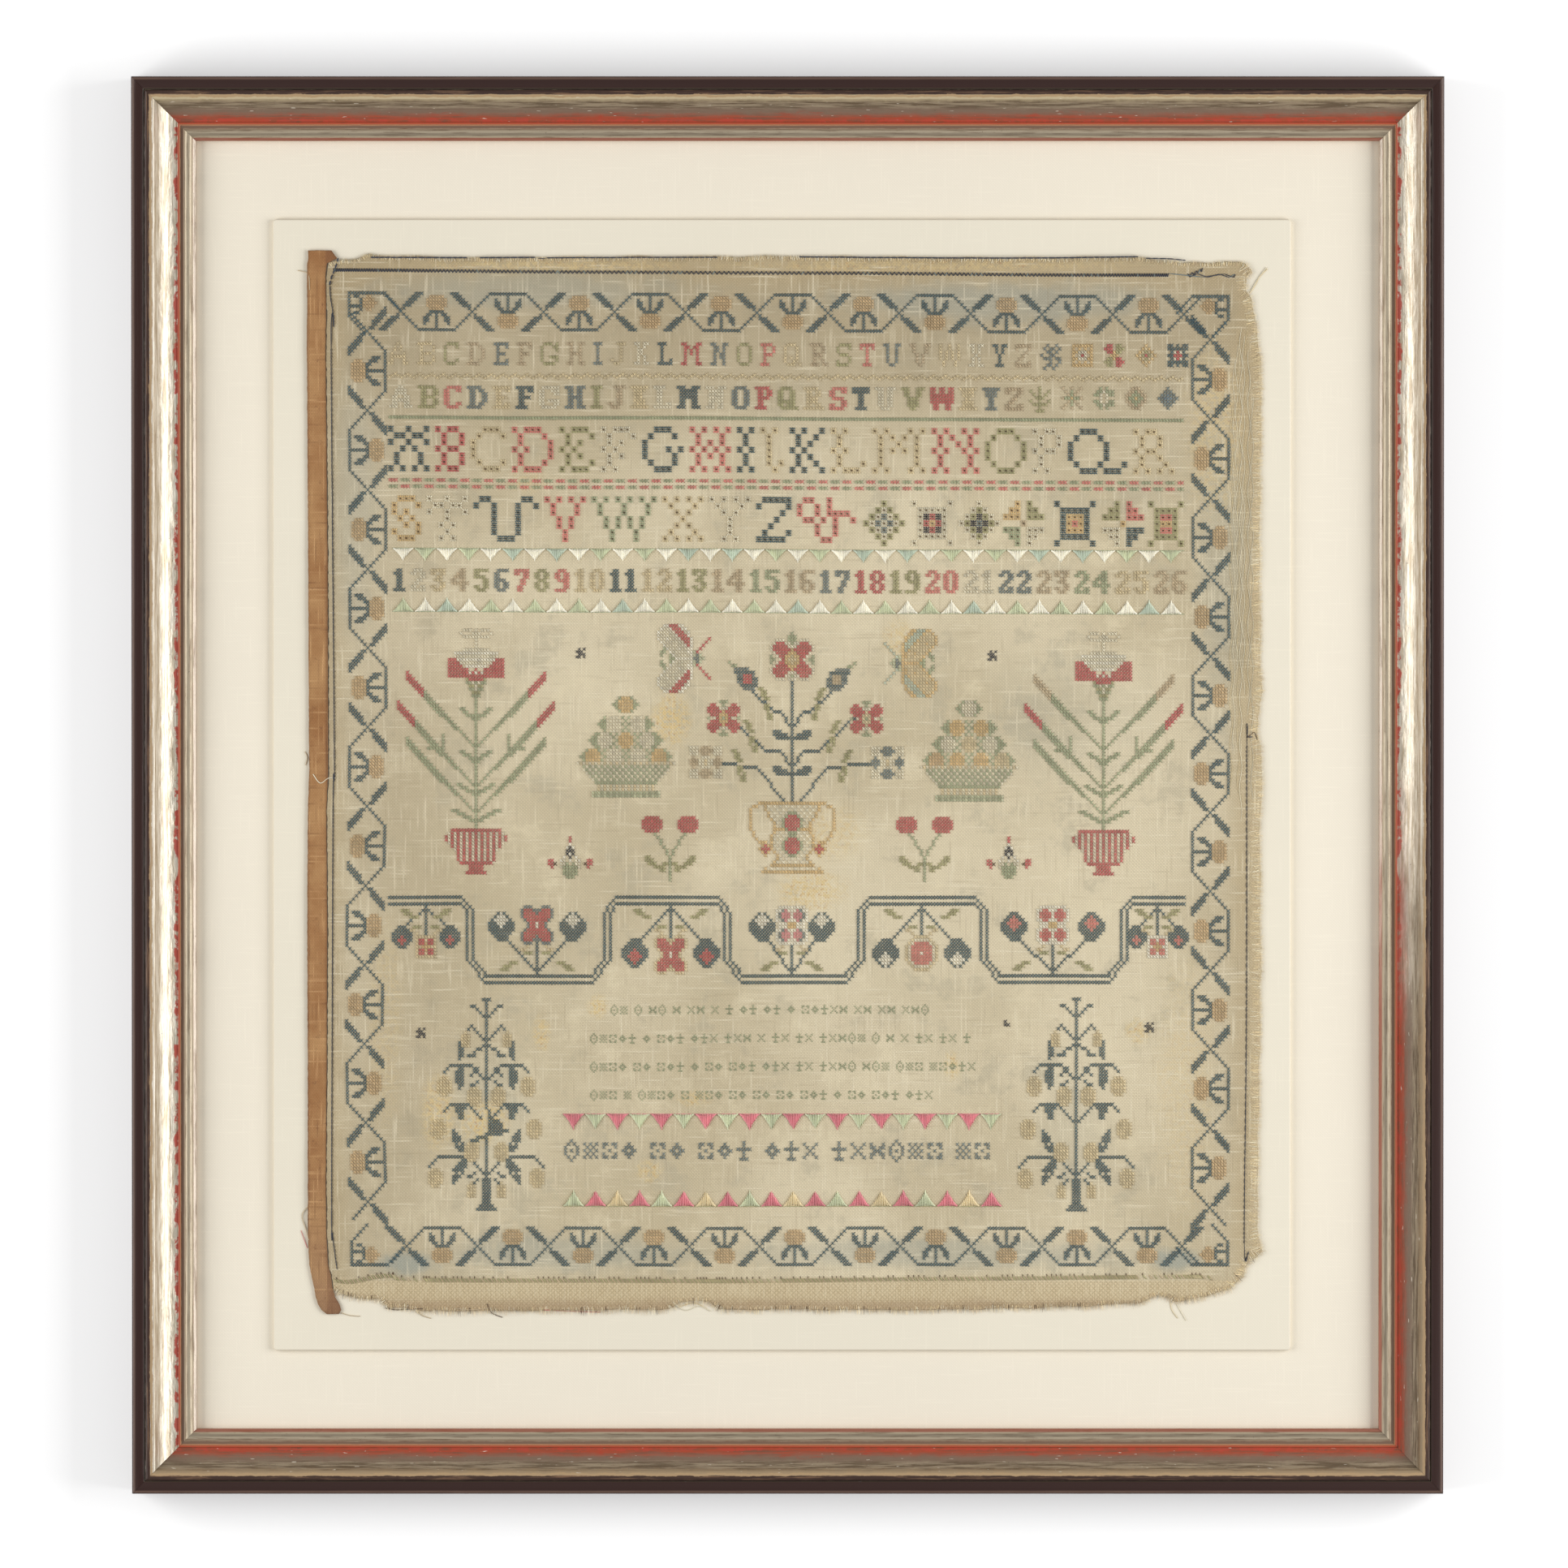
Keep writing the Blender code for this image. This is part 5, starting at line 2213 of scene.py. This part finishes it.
@dataclass
class ThinSheet:
    """A thin woven sheet with a ragged rim, cut to a solid's outline."""

    name: str
    node: str
    spacing: float
    thickness: float
    rim_step: float = 1.3 * MM
    fray: float = 0.3 * MM
    area: float = 0.0

    def build(self, surface: Surface, finish: Finish) -> bpy.types.Object:
        """Makes the sheet.

        Args:
            surface: Its upper side.
            finish: Its finish.

        Returns:
            The piece.
        """
        outline = outline_of(self.node)
        stray = random.Random(5)
        rim = []
        for (x, y), (out_x, out_y) in along(outline, self.rim_step):
            push = stray.uniform(-1, 0.6) * self.fray
            rim.append(Vector((x + out_x * push, y + out_y * push)))
        low_y, high_y = min(p.y for p in rim), max(p.y for p in rim)
        shape = [(p.x, p.y) for p in rim]
        points = list(rim)
        step = self.spacing
        margin = step * 0.7
        for row in range(int((high_y - low_y) / step) + 1):
            y = low_y + (row + 0.5) * step
            spans = sorted(
                x0 + (y - y0) * (x1 - x0) / (y1 - y0)
                for (x0, y0), (x1, y1) in zip(shape, (*shape[1:], shape[0]))
                if (y0 > y) != (y1 > y)
            )
            for start, end in zip(spans[::2], spans[1::2]):
                count = max(0, int((end - start - 2 * margin) / step))
                for column in range(count + 1):
                    share = (column + 0.5) / (count + 1)
                    points.append(Vector((start + margin + share * (end - start - 2 * margin), y)))
        loop = list(range(len(rim)))
        made = delaunay_2d_cdt(points, [], [loop], 1, 1e-6)
        flat, faces = made[0], made[2]
        self.area = sum(self.triangle_area([flat[i] for i in face]) for face in faces)
        mesh = bpy.data.meshes.new(self.name)
        mesh.from_pydata([(p.x, p.y, surface.height(p.x, p.y)) for p in flat], [], faces)
        mesh.shade_smooth()
        piece = new_object(self.name, mesh, finish.material())
        solid = piece.modifiers.new("thickness", "SOLIDIFY")
        solid.thickness = self.thickness
        solid.offset = -1.0
        graph = bpy.context.evaluated_depsgraph_get()
        thick = bpy.data.meshes.new_from_object(piece.evaluated_get(graph), depsgraph=graph)
        piece.modifiers.clear()
        piece.data = thick
        thick.name = self.name
        return piece

    def triangle_area(self, corners: Sequence[Vector]) -> float:
        """Area of a flat triangle."""
        a, b, c = corners
        return abs((b - a).cross(c - a)) / 2


class Hem(NamedTuple):
    """A line of hem stitches through places in millimetres."""

    places: tuple[Point, ...]
    thread: Thread
    length: float
    gap: float
    radius: float


@dataclass
class Edging:
    """Hems, the dark edge threads, the frayed rim and the loose ends."""

    panel_face: float
    hems: tuple[Hem, ...] = (
        Hem(((-191.9, 225.2), (-193.2, 220.7), (-194.6, 217.6), (-195.8, 213.4)),
            Thread.NAVY, 2.4, 0.1, 0.5),
        Hem(((-195.6, 213.4), (-195.3, 208.6), (-194.3, 202.4), (-193.9, 196.1), (-195.0, 186.8),
             (-193.8, 23.5), (-193.8, 2.7), (-194.3, -11.2), (-195.0, -177.5), (-194.6, -191.8),
             (-193.6, -200.4), (-192.6, -207.4)), Thread.NAVY, 3.0, -0.5, 0.25),
        Hem(((199.1, 20.6), (196.7, 20.3), (196.3, 17.0), (196.2, -100.0), (195.3, -196.0),
             (197.0, -199.5), (195.5, -203.5)), Thread.NAVY, 2.8, 0.3, 0.26),
        Hem(((-178.0, 225.6), (-136.4, 225.5)), Thread.NAVY, 3.0, -0.4, 0.42),
        Hem(((-131.5, 225.5), (-107.3, 225.6)), Thread.NAVY, 3.0, -0.4, 0.42),
        Hem(((-106.6, 225.1), (-103.5, 225.1)), Thread.NAVY, 3.0, 0.4, 0.22),
        Hem(((-102.8, 225.4), (-60.0, 225.6), (-30.0, 225.6)), Thread.NAVY, 3.0, -0.4, 0.36),
        Hem(((5.0, 225.8), (93.0, 225.3), (150.0, 225.9)), Thread.NAVY, 3.0, -0.4, 0.4),
        Hem(((153.0, 225.2), (163.0, 225.0), (170.0, 224.3)), Thread.NAVY, 3.0, -0.2, 0.34),
    )
    zigzag: tuple[Point, ...] = ((-193.9, 219.9), (162.7, 219.2), (171.0, 219.2), (177.3, 221.6))
    lower_hem: tuple[Point, ...] = (
        (-194.3, -211.9), (-187.0, -212.2), (-176.3, -210.1), (-169.3, -209.8), (-156.2, -211.5),
        (-52.2, -211.8), (-3.6, -211.8), (148.9, -210.3), (177.0, -210.3), (180.5, -211.6),
    )
    loose: tuple[tuple[tuple[Point, ...], Thread, float], ...] = (
        (((198.1, 211.4), (200.0, 215.0), (202.3, 218.4), (204.6, 221.3)), Thread.CREAM, 0.2),
        (((197.6, 210.4), (199.8, 213.8), (201.6, 217.2), (204.9, 220.6)), Thread.STRAW, 0.18),
        (((-209.3, 220.0), (-206.8, 219.5), (-204.6, 217.9), (-204.2, 211.6)), Thread.TAN, 0.22),
        (((-202.8, 4.8), (-199.8, 1.0), (-196.3, 3.1), (-193.2, 3.2)), Thread.CREAM, 0.25),
        (((-206.1, 8.6), (-205.3, 12.0), (-206.4, 14.4)), Thread.TAN, 0.2),
        (((-205.0, -180.0), (-207.6, -184.0), (-206.0, -190.0), (-204.7, -194.5)), Thread.TAN, 0.2),
        (((-208.1, -190.4), (-206.8, -194.0), (-205.4, -198.0)), Thread.RED, 0.14),
        (((-190.8, -225.7), (-187.0, -226.8), (-182.9, -227.1)), Thread.TAN, 0.2),
        (((-172.1, -223.6), (-168.0, -224.3), (-163.8, -224.2), (-156.0, -223.8)),
         Thread.SHADOW, 0.24),
        (((-160.2, -222.9), (-157.0, -226.4), (-152.5, -228.0)), Thread.TAN, 0.22),
        (((-142.0, -223.6), (-136.0, -224.3), (-128.0, -223.6)), Thread.TAN, 0.18),
        (((-128.5, -221.8), (-126.6, -225.6), (-122.0, -227.6)), Thread.SHADOW, 0.2),
        (((-104.0, -224.4), (-92.0, -225.0), (-80.0, -225.4)), Thread.RED, 0.15),
        (((-49.0, -221.0), (-44.0, -224.6), (-38.0, -222.8), (-33.0, -225.0)), Thread.CREAM, 0.2),
        (((-47.0, -223.4), (-40.0, -221.4), (-34.5, -224.0)), Thread.STRAW, 0.2),
        (((166.2, -221.6), (168.5, -225.8), (170.4, -229.0)), Thread.CREAM, 0.16),
        (((163.5, -220.6), (164.5, -224.8), (166.9, -228.0)), Thread.STRAW, 0.16),
        (((196.5, 20.4), (199.5, 22.6), (200.8, 19.4)), Thread.SHADOW, 0.2),
    )

    def spline(self, places: Sequence[Point], step: float) -> list[Point]:
        """Rounds a line of places into even points.

        Args:
            places: The places, in millimetres.
            step: The spacing, in millimetres.

        Returns:
            The points, in millimetres.
        """
        ends = [places[0], *places, places[-1]]
        points = []
        for before, start, end, after in zip(ends, ends[1:], ends[2:], ends[3:]):
            count = max(1, round(math.dist(start, end) / step))
            for index in range(count):
                t = index / count
                points.append(tuple(
                    0.5 * (2 * b + (c - a) * t + (2 * a - 5 * b + 4 * c - d) * t * t
                           + (3 * b - a - 3 * c + d) * t ** 3)
                    for a, b, c, d in zip(before, start, end, after)
                ))
        return [*points, places[-1]]

    def hem_lines(self, ground: Ground) -> None:
        """Works the dark hem and edge threads, stitch by stitch."""
        for hem in self.hems:
            line = self.spline(hem.places, 0.5)
            stride = round((hem.length + hem.gap) / 0.5)
            reach = round(hem.length / 0.5)
            for first in range(0, len(line) - 1, stride):
                part = line[first:first + reach + 1:2]
                if len(part) > 2:
                    points = [(x * MM, y * MM) for x, y in part]
                    ground.strand(points, hem.thread, hem.radius * MM, moved=False)

    def teeth(self, ground: Ground) -> None:
        """Works the navy zigzag under the upper edge."""
        line = self.spline(self.zigzag, 0.8)
        for index, (start, end) in enumerate(zip(line, line[1:])):
            way = 0.75 if index % 2 else -0.75
            first = (start[0] * MM, (start[1] - way) * MM)
            last = (end[0] * MM, (end[1] + way) * MM)
            thread = Thread.NAVY if ground.stray.random() < 0.93 else Thread.SLATE
            ground.straight(first, last, thread, 0.24 * MM)

    def lower_row(self, ground: Ground) -> None:
        """Works the slanted stitches that hold the lower hem, and the dark holes over them."""
        line = self.spline(self.lower_hem, 0.47)
        for index in range(0, len(line) - 4, 2):
            x, y = line[index]
            lean = ground.stray.uniform(1.2, 1.9)
            ground.straight((x * MM, (y + 0.9) * MM), ((x + lean) * MM, (y - 1.0) * MM),
                            Thread.TAN if index % 4 else Thread.OLIVE, 0.24 * MM)
            if index % 4 == 0 and ground.stray.random() < 0.6:
                ground.straight((x * MM, (y + 1.7) * MM), ((x + 0.2) * MM, (y + 0.6) * MM),
                                Thread.SHADOW, 0.2 * MM)

    def frayed_rim(self, ground: Ground, outline: Sequence[Point]) -> None:
        """Lays the short loose fibres all round the cloth.

        Args:
            ground: Takes the strands.
            outline: The cloth's outline.
        """
        stray = random.Random(29)
        kinds = (Thread.STRAW, Thread.CREAM, Thread.TAN, Thread.STRAW)
        for (x, y), (out_x, out_y) in along(outline, 0.42 * MM):
            if x < -189 * MM and out_x < -0.7:
                continue
            right = out_x > 0.6
            low = out_y < -0.6
            reach = stray.uniform(0.2, 1.5 if right else 2.4 if low else 0.7) * MM
            back = stray.uniform(1.0, 4.5 if right else 2.0) * MM
            slant = stray.uniform(-0.25, 0.25)
            way_x, way_y = out_x - out_y * slant, out_y + out_x * slant
            thread = kinds[stray.randrange(4)]
            if low and stray.random() < 0.5:
                thread = Thread.SHADOW if stray.random() < 0.1 else Thread.TAN
            radius = stray.uniform(0.07, 0.14) * MM
            start_z = ground.surface.height(x, y) + radius
            made = []
            for share in (0.0, 0.55, 1.0):
                run = -back + (back + reach) * share
                bend = stray.uniform(-0.15, 0.15) * MM
                z = start_z if run < 0 else start_z - 0.5 * MM * share
                made.append(StrandPoint(x + way_x * run + bend, y + way_y * run - bend, z,
                                        radius * (1.0 if share < 1 else 0.5)))
            # painted light: the fibres are painted brighter than their thread, to offset their own
            # shade
            ground.strands.append(Strand(tuple(made), thread, stray.uniform(1.0, 1.4)))

    def slack_warps(self, ground: Ground) -> None:
        """Lays the long wavy threads that have worked loose along the right edge."""
        stray = random.Random(41)
        for index in range(9):
            x = 189.5 + index * 1.1 + stray.uniform(-0.3, 0.3)
            y, end = stray.uniform(150, 208), stray.uniform(-20, 60)
            phase, points = stray.uniform(0, 6), []
            while y > end:
                points.append(((x + 0.55 * math.sin(y * 0.33 + phase)) * MM, y * MM))
                y -= 2.6
            thread = Thread.CREAM if index % 3 else Thread.STRAW
            ground.strand(points, thread, stray.uniform(0.1, 0.15) * MM, moved=False)

    def loose_ends(self, ground: Ground, outlines: Sequence[Sequence[Point]]) -> None:
        """Lays the loose threads over the cloth, the tape and the linen.

        Args:
            ground: Takes the strands.
            outlines: Outlines of the cloth and the tape.
        """
        for places, thread, radius in self.loose:
            made = []
            line = self.spline(places, 1.0)
            for x, y in line:
                point = (x * MM, y * MM)
                over = any(inside(point, outline) for outline in outlines)
                z = ground.surface.height(*point) if over else self.panel_face + 0.1 * MM
                made.append(StrandPoint(*point, z + radius * MM, radius * MM))
            heights = [p.z for p in made]
            for index, point in enumerate(made):
                near = heights[max(0, index - 2):index + 3]
                made[index] = point._replace(z=sum(near) / len(near))
            ground.strands.append(Strand(tuple(made), thread, 1.0))


# Frame and boards

class Rail(NamedTuple):
    """A rail: its node, the way it runs and the way its outer side faces."""

    node: str
    piece: str
    along: Vector
    outwards: Vector


@dataclass
class Moulding:
    """Four mitred rails of one worn moulding."""

    width: float = 560 * MM
    height: float = 605 * MM
    mitre_gap: float = 0.05 * MM
    steps: int = 100
    outer: tuple[Point, ...] = (
        (0.5, 0.0), (0.1, 0.15), (0.0, 0.5), (0.0, 12.0), (0.0, 24.6), (0.1, 25.1), (0.35, 25.5),
        (0.7, 25.7), (1.1, 25.8), (3.0, 25.85), (5.0, 25.8), (5.25, 25.6), (5.35, 25.1),
        (5.6, 25.1), (5.75, 25.7), (6.0, 26.1), (6.6, 26.3), (7.2, 26.3), (7.8, 26.25),
        (8.5, 26.1), (9.0, 25.9), (9.4, 25.6), (9.8, 25.1),
    )
    inner: tuple[Point, ...] = (
        (19.3, 18.2), (19.45, 18.6), (19.7, 18.8), (20.2, 18.8), (20.45, 18.5), (20.6, 18.0),
        (21.4, 17.95), (22.1, 18.0), (22.3, 18.6), (22.7, 19.15), (23.3, 19.4), (24.2, 19.4),
        (24.9, 19.2), (25.5, 18.75), (25.9, 18.1), (26.2, 17.7), (26.6, 17.55), (26.95, 17.4),
        (27.2, 17.1), (27.2, 15.0), (27.2, 13.0), (19.2, 13.0), (19.2, 0.0),
    )
    cove_steps: int = 16
    cove_sag: float = 1.5

    def section(self) -> list[Point]:
        """The moulding's section, as inset and height in millimetres.

        Returns:
            The closed loop's points.
        """
        start, end = self.outer[-1], self.inner[0]
        run, fall = end[0] - start[0], end[1] - start[1]
        chord = math.hypot(run, fall)
        cove = []
        for step in range(1, self.cove_steps):
            share = step / self.cove_steps
            sink = 4 * self.cove_sag * share * (1 - share)
            cove.append((start[0] + run * share + fall / chord * sink,
                         start[1] + fall * share - run / chord * sink))
        return [*self.outer, *cove, *self.inner]

    def rails(self) -> tuple[Rail, ...]:
        """The four rails."""
        across, up = Vector((1, 0, 0)), Vector((0, 1, 0))
        return (
            Rail("rail_top", "moulding_top", across, up),
            Rail("rail_bottom", "moulding_bottom", across, -up),
            Rail("rail_left", "moulding_left", up, -across),
            Rail("rail_right", "moulding_right", up, across),
        )

    def wear(self, inset: float, run: float, seed: float) -> float:
        """How far handling has lowered the surface here.

        Args:
            inset: From the outer side, in millimetres.
            run: Along the rail, in millimetres.
            seed: Sets the rail's own pattern.

        Returns:
            The lowering, in millimetres.
        """
        if not 0.05 < inset < 27.0:
            return 0.0
        rough = noise.noise(Vector((run * 0.11, inset * 0.35, seed)))
        small = noise.noise(Vector((run * 0.5, inset * 0.9, seed + 9)))
        edge = 0.16 if 7.5 < inset < 10.5 else 0.05
        return edge * (0.5 + rough) + 0.03 * small

    def build(self, rail: Rail, seed: float, material: bpy.types.Material) -> bpy.types.Object:
        """Makes one rail.

        Args:
            rail: The rail.
            seed: Sets its wear.
            material: Its finish.

        Returns:
            The piece.
        """
        section = self.section()
        level = abs(rail.along.x) > 0
        half_length = (self.width if level else self.height) / 2
        half_reach = (self.height if level else self.width) / 2
        points, faces = [], []
        count = len(section)
        for step in range(self.steps + 1):
            share = step / self.steps * 2 - 1
            for inset, height in section:
                run = share * (half_length - inset * MM - self.mitre_gap)
                low = self.wear(inset, run / MM, seed) if height > 13.5 else 0.0
                place = rail.outwards * (half_reach - inset * MM) + rail.along * run
                points.append(place + Vector((0, 0, (height - low) * MM)))
        for step in range(self.steps):
            for index in range(count):
                after = (index + 1) % count
                a, b = step * count + index, step * count + after
                faces.append((a, b, b + count, a + count))
        faces.append(tuple(range(count)))
        faces.append(tuple(self.steps * count + index for index in range(count)))
        mesh = bpy.data.meshes.new(rail.piece)
        mesh.from_pydata(points, [], faces)
        bm = bmesh.new()
        bm.from_mesh(mesh)
        bmesh.ops.recalc_face_normals(bm, faces=bm.faces)
        bm.to_mesh(mesh)
        bm.free()
        mesh.shade_smooth()
        mesh.set_sharp_from_angle(angle=math.radians(42))
        return new_object(rail.piece, mesh, material)


@dataclass
class Studio:
    """Camera, floor and soft lights."""

    lens: float = 300.0
    sensor: float = 36.0
    field_width: float = 669.7 * MM
    aim: tuple[float, float, float] = (-1.56 * MM, 0.62 * MM, 20 * MM)
    tilt: float = math.radians(0.9)
    floor_half: float = 3.0
    light_size: tuple[float, float] = (1.1, 1.3)
    light_place: tuple[float, float] = (1.45, 0.95)  # out from the middle, and up
    light_lean: float = math.radians(57)
    left_power: float = 18.4
    right_power: float = 23.6
    sky: float = 0.29

    def camera(self) -> None:
        """Places the camera straight over the work, a touch nearer to its top."""
        data = bpy.data.cameras.new("camera")
        data.lens = self.lens
        data.sensor_width = self.sensor
        far = self.field_width * self.lens / self.sensor
        camera = bpy.data.objects.new("camera", data)
        backwards = Vector((0, math.sin(self.tilt), math.cos(self.tilt)))
        camera.location = Vector(self.aim) + far * backwards
        camera.rotation_euler = (-self.tilt, 0, 0)
        bpy.context.scene.collection.objects.link(camera)
        bpy.context.scene.camera = camera

    def floor(self) -> None:
        """Lays a plain pale floor."""
        half = self.floor_half
        mesh = bpy.data.meshes.new("floor")
        corners = [(-half, -half, 0), (half, -half, 0), (half, half, 0), (-half, half, 0)]
        mesh.from_pydata(corners, [], [(0, 1, 2, 3)])
        new_object("floor", mesh, FloorFinish("floor").material())

    def lights(self) -> None:
        """Sets a large soft light at each side and an even sky."""
        for side, power in ((-1, self.left_power), (1, self.right_power)):
            data = bpy.data.lights.new("side_light", "AREA")
            data.shape = "RECTANGLE"
            data.size, data.size_y = self.light_size
            data.energy = power
            light = bpy.data.objects.new("side_light", data)
            light.location = (side * self.light_place[0], 0.0, self.light_place[1])
            light.rotation_euler = (0, side * self.light_lean, 0)
            bpy.context.scene.collection.objects.link(light)
        world = bpy.data.worlds.new("studio")
        world.use_nodes = True
        background = world.node_tree.nodes["Background"]
        background.inputs["Color"].default_value = (1, 1, 1, 1)
        background.inputs["Strength"].default_value = self.sky
        bpy.context.scene.world = world
        bpy.context.scene.view_settings.view_transform = "Standard"


CLOTH_FINISH = ClothFinish(
    "old_ground_cloth", 0.95,
    grey_stains=(
        Stain(-163, -205, 14, 6, 0.7), Stain(166, -203, 12, 6, 0.7), Stain(-90, -200, 60, 8, 0.4),
        Stain(60, -200, 90, 8, 0.4), Stain(90, 207, 80, 10, 0.45), Stain(-110, 212, 70, 10, 0.35),
        Stain(123, -148, 20, 30, 0.14), Stain(-129, -140, 20, 32, 0.16),
        Stain(-186, 120, 12, 60, 0.25), Stain(186, 90, 12, 80, 0.25), Stain(120, 30, 40, 30, 0.12),
    ),
    straw_stains=(
        Stain(-50, 29, 9, 13, 0.95), Stain(-149, -139, 8, 18, 0.8), Stain(-130, -144, 12, 11, 0.9),
        Stain(10, -45, 15, 9, 0.9), Stain(-81, -94.5, 5, 5, 0.9), Stain(-40, -134, 7, 4, 0.7),
        Stain(-59, -165, 6, 5, 0.7), Stain(-105, -106, 4, 8, 0.8), Stain(48, 63, 8, 8, 0.6),
        Stain(183, 150, 14, 40, 0.5), Stain(70, -120, 4, 6, 0.8), Stain(-110, 130, 10, 6, 0.4),
        Stain(150, -105, 6, 6, 0.7), Stain(-100, 222, 60, 3, 0.6), Stain(60, 222, 90, 3, 0.5),
        Stain(170, -130, 14, 60, 0.3), Stain(20, -20, 14, 12, 0.5), Stain(-172, -100, 8, 50, 0.3),
    ),
    hem_height=-212.0,
)


def stitch_piece(name: str, needle: Needle, ground: Ground, material: bpy.types.Material,
                 register: Register) -> bpy.types.Object:
    """Turns what a ground has gathered into one registered piece.

    Args:
        name: The piece's name.
        needle: Makes the threads.
        ground: Holds stitches and strands.
        material: Their finish.
        register: Takes the piece.

    Returns:
        The piece.
    """
    meshes = []
    if ground.stitches:
        meshes.append(needle.crosses(ground.stitches, ground.surface, material))
    if ground.strands:
        meshes.append(needle.strands(ground.strands, material))
    if ground.holes:
        meshes.append(needle.strands(ground.holes, material, 6))
    return register.enter(needle.gather(name, meshes, material), Slot.CLOTH)


def main() -> None:
    """Builds and dresses the whole sampler."""
    logging.basicConfig(level=logging.INFO, format="%(name)s %(message)s")
    register = Register()
    studio = Studio()
    studio.camera()
    studio.floor()
    studio.lights()

    moulding = Moulding()
    leaf = MouldingFinish("worn_silver_leaf", 0.45).material()
    for seed, rail in enumerate(moulding.rails(), 3):
        register.enter(moulding.build(rail, seed * 7.3, leaf), Slot.MOULDING, rail.node)
    for node, shade in (("mount_board", (250, 241, 222)), ("raised_panel", (245, 237, 217))):
        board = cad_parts[node]
        board.data.materials.clear()
        board.data.materials.append(LinenFinish(node, 0.9, linear(*shade)).material())

    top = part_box("sampler_cloth")[1].z
    surface = Surface(top - 0.3 * MM)
    cloth_sheet = ThinSheet("worn_ground", "sampler_cloth", 3.4 * MM, 0.5 * MM)
    cloth = register.enter(cloth_sheet.build(surface, CLOTH_FINISH), Slot.CLOTH, "sampler_cloth")
    tape_sheet = ThinSheet("side_tape", "binding_tape", 1.3 * MM, 0.6 * MM, fray=0.12 * MM)
    tape_top = Surface(top - 0.15 * MM)
    tape = tape_sheet.build(tape_top, TapeFinish("old_tape", 0.9))
    register.enter(tape, Slot.TAPE, "binding_tape")

    needle = Needle()
    thread = ThreadFinish("faded_thread", 0.8).material()
    works = {
        "border_stitches": Border().work,
        "alphabets_and_figures": Lettering().work,
        "ringed_and_satin_motifs": Motifs().ringed_and_satin_motifs,
        "pots_and_flowers": Motifs().pots_and_flowers,
        "meander_stitches": Motifs().meander,
        "trees_and_lines": Motifs().trees_and_lines,
    }
    for name, work in works.items():
        ground = Ground(surface)
        work(ground)
        LOG.info("%s: %d stitches, %d strands", name, len(ground.stitches), len(ground.strands))
        stitch_piece(name, needle, ground, thread, register)
    edging = Edging(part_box("raised_panel")[1].z)
    ground = Ground(surface)
    edging.hem_lines(ground)
    edging.teeth(ground)
    edging.lower_row(ground)
    stitch_piece("hem_stitches", needle, ground, thread, register)
    ground = Ground(surface)
    outlines = [outline_of("sampler_cloth"), outline_of("binding_tape")]
    edging.frayed_rim(ground, outlines[0])
    edging.slack_warps(ground)
    edging.loose_ends(ground, outlines)
    stitch_piece("frayed_threads", needle, ground, thread, register)

    LOG.info("in all: %d triangles", register.triangles)


if __name__ == "__main__":
    main()
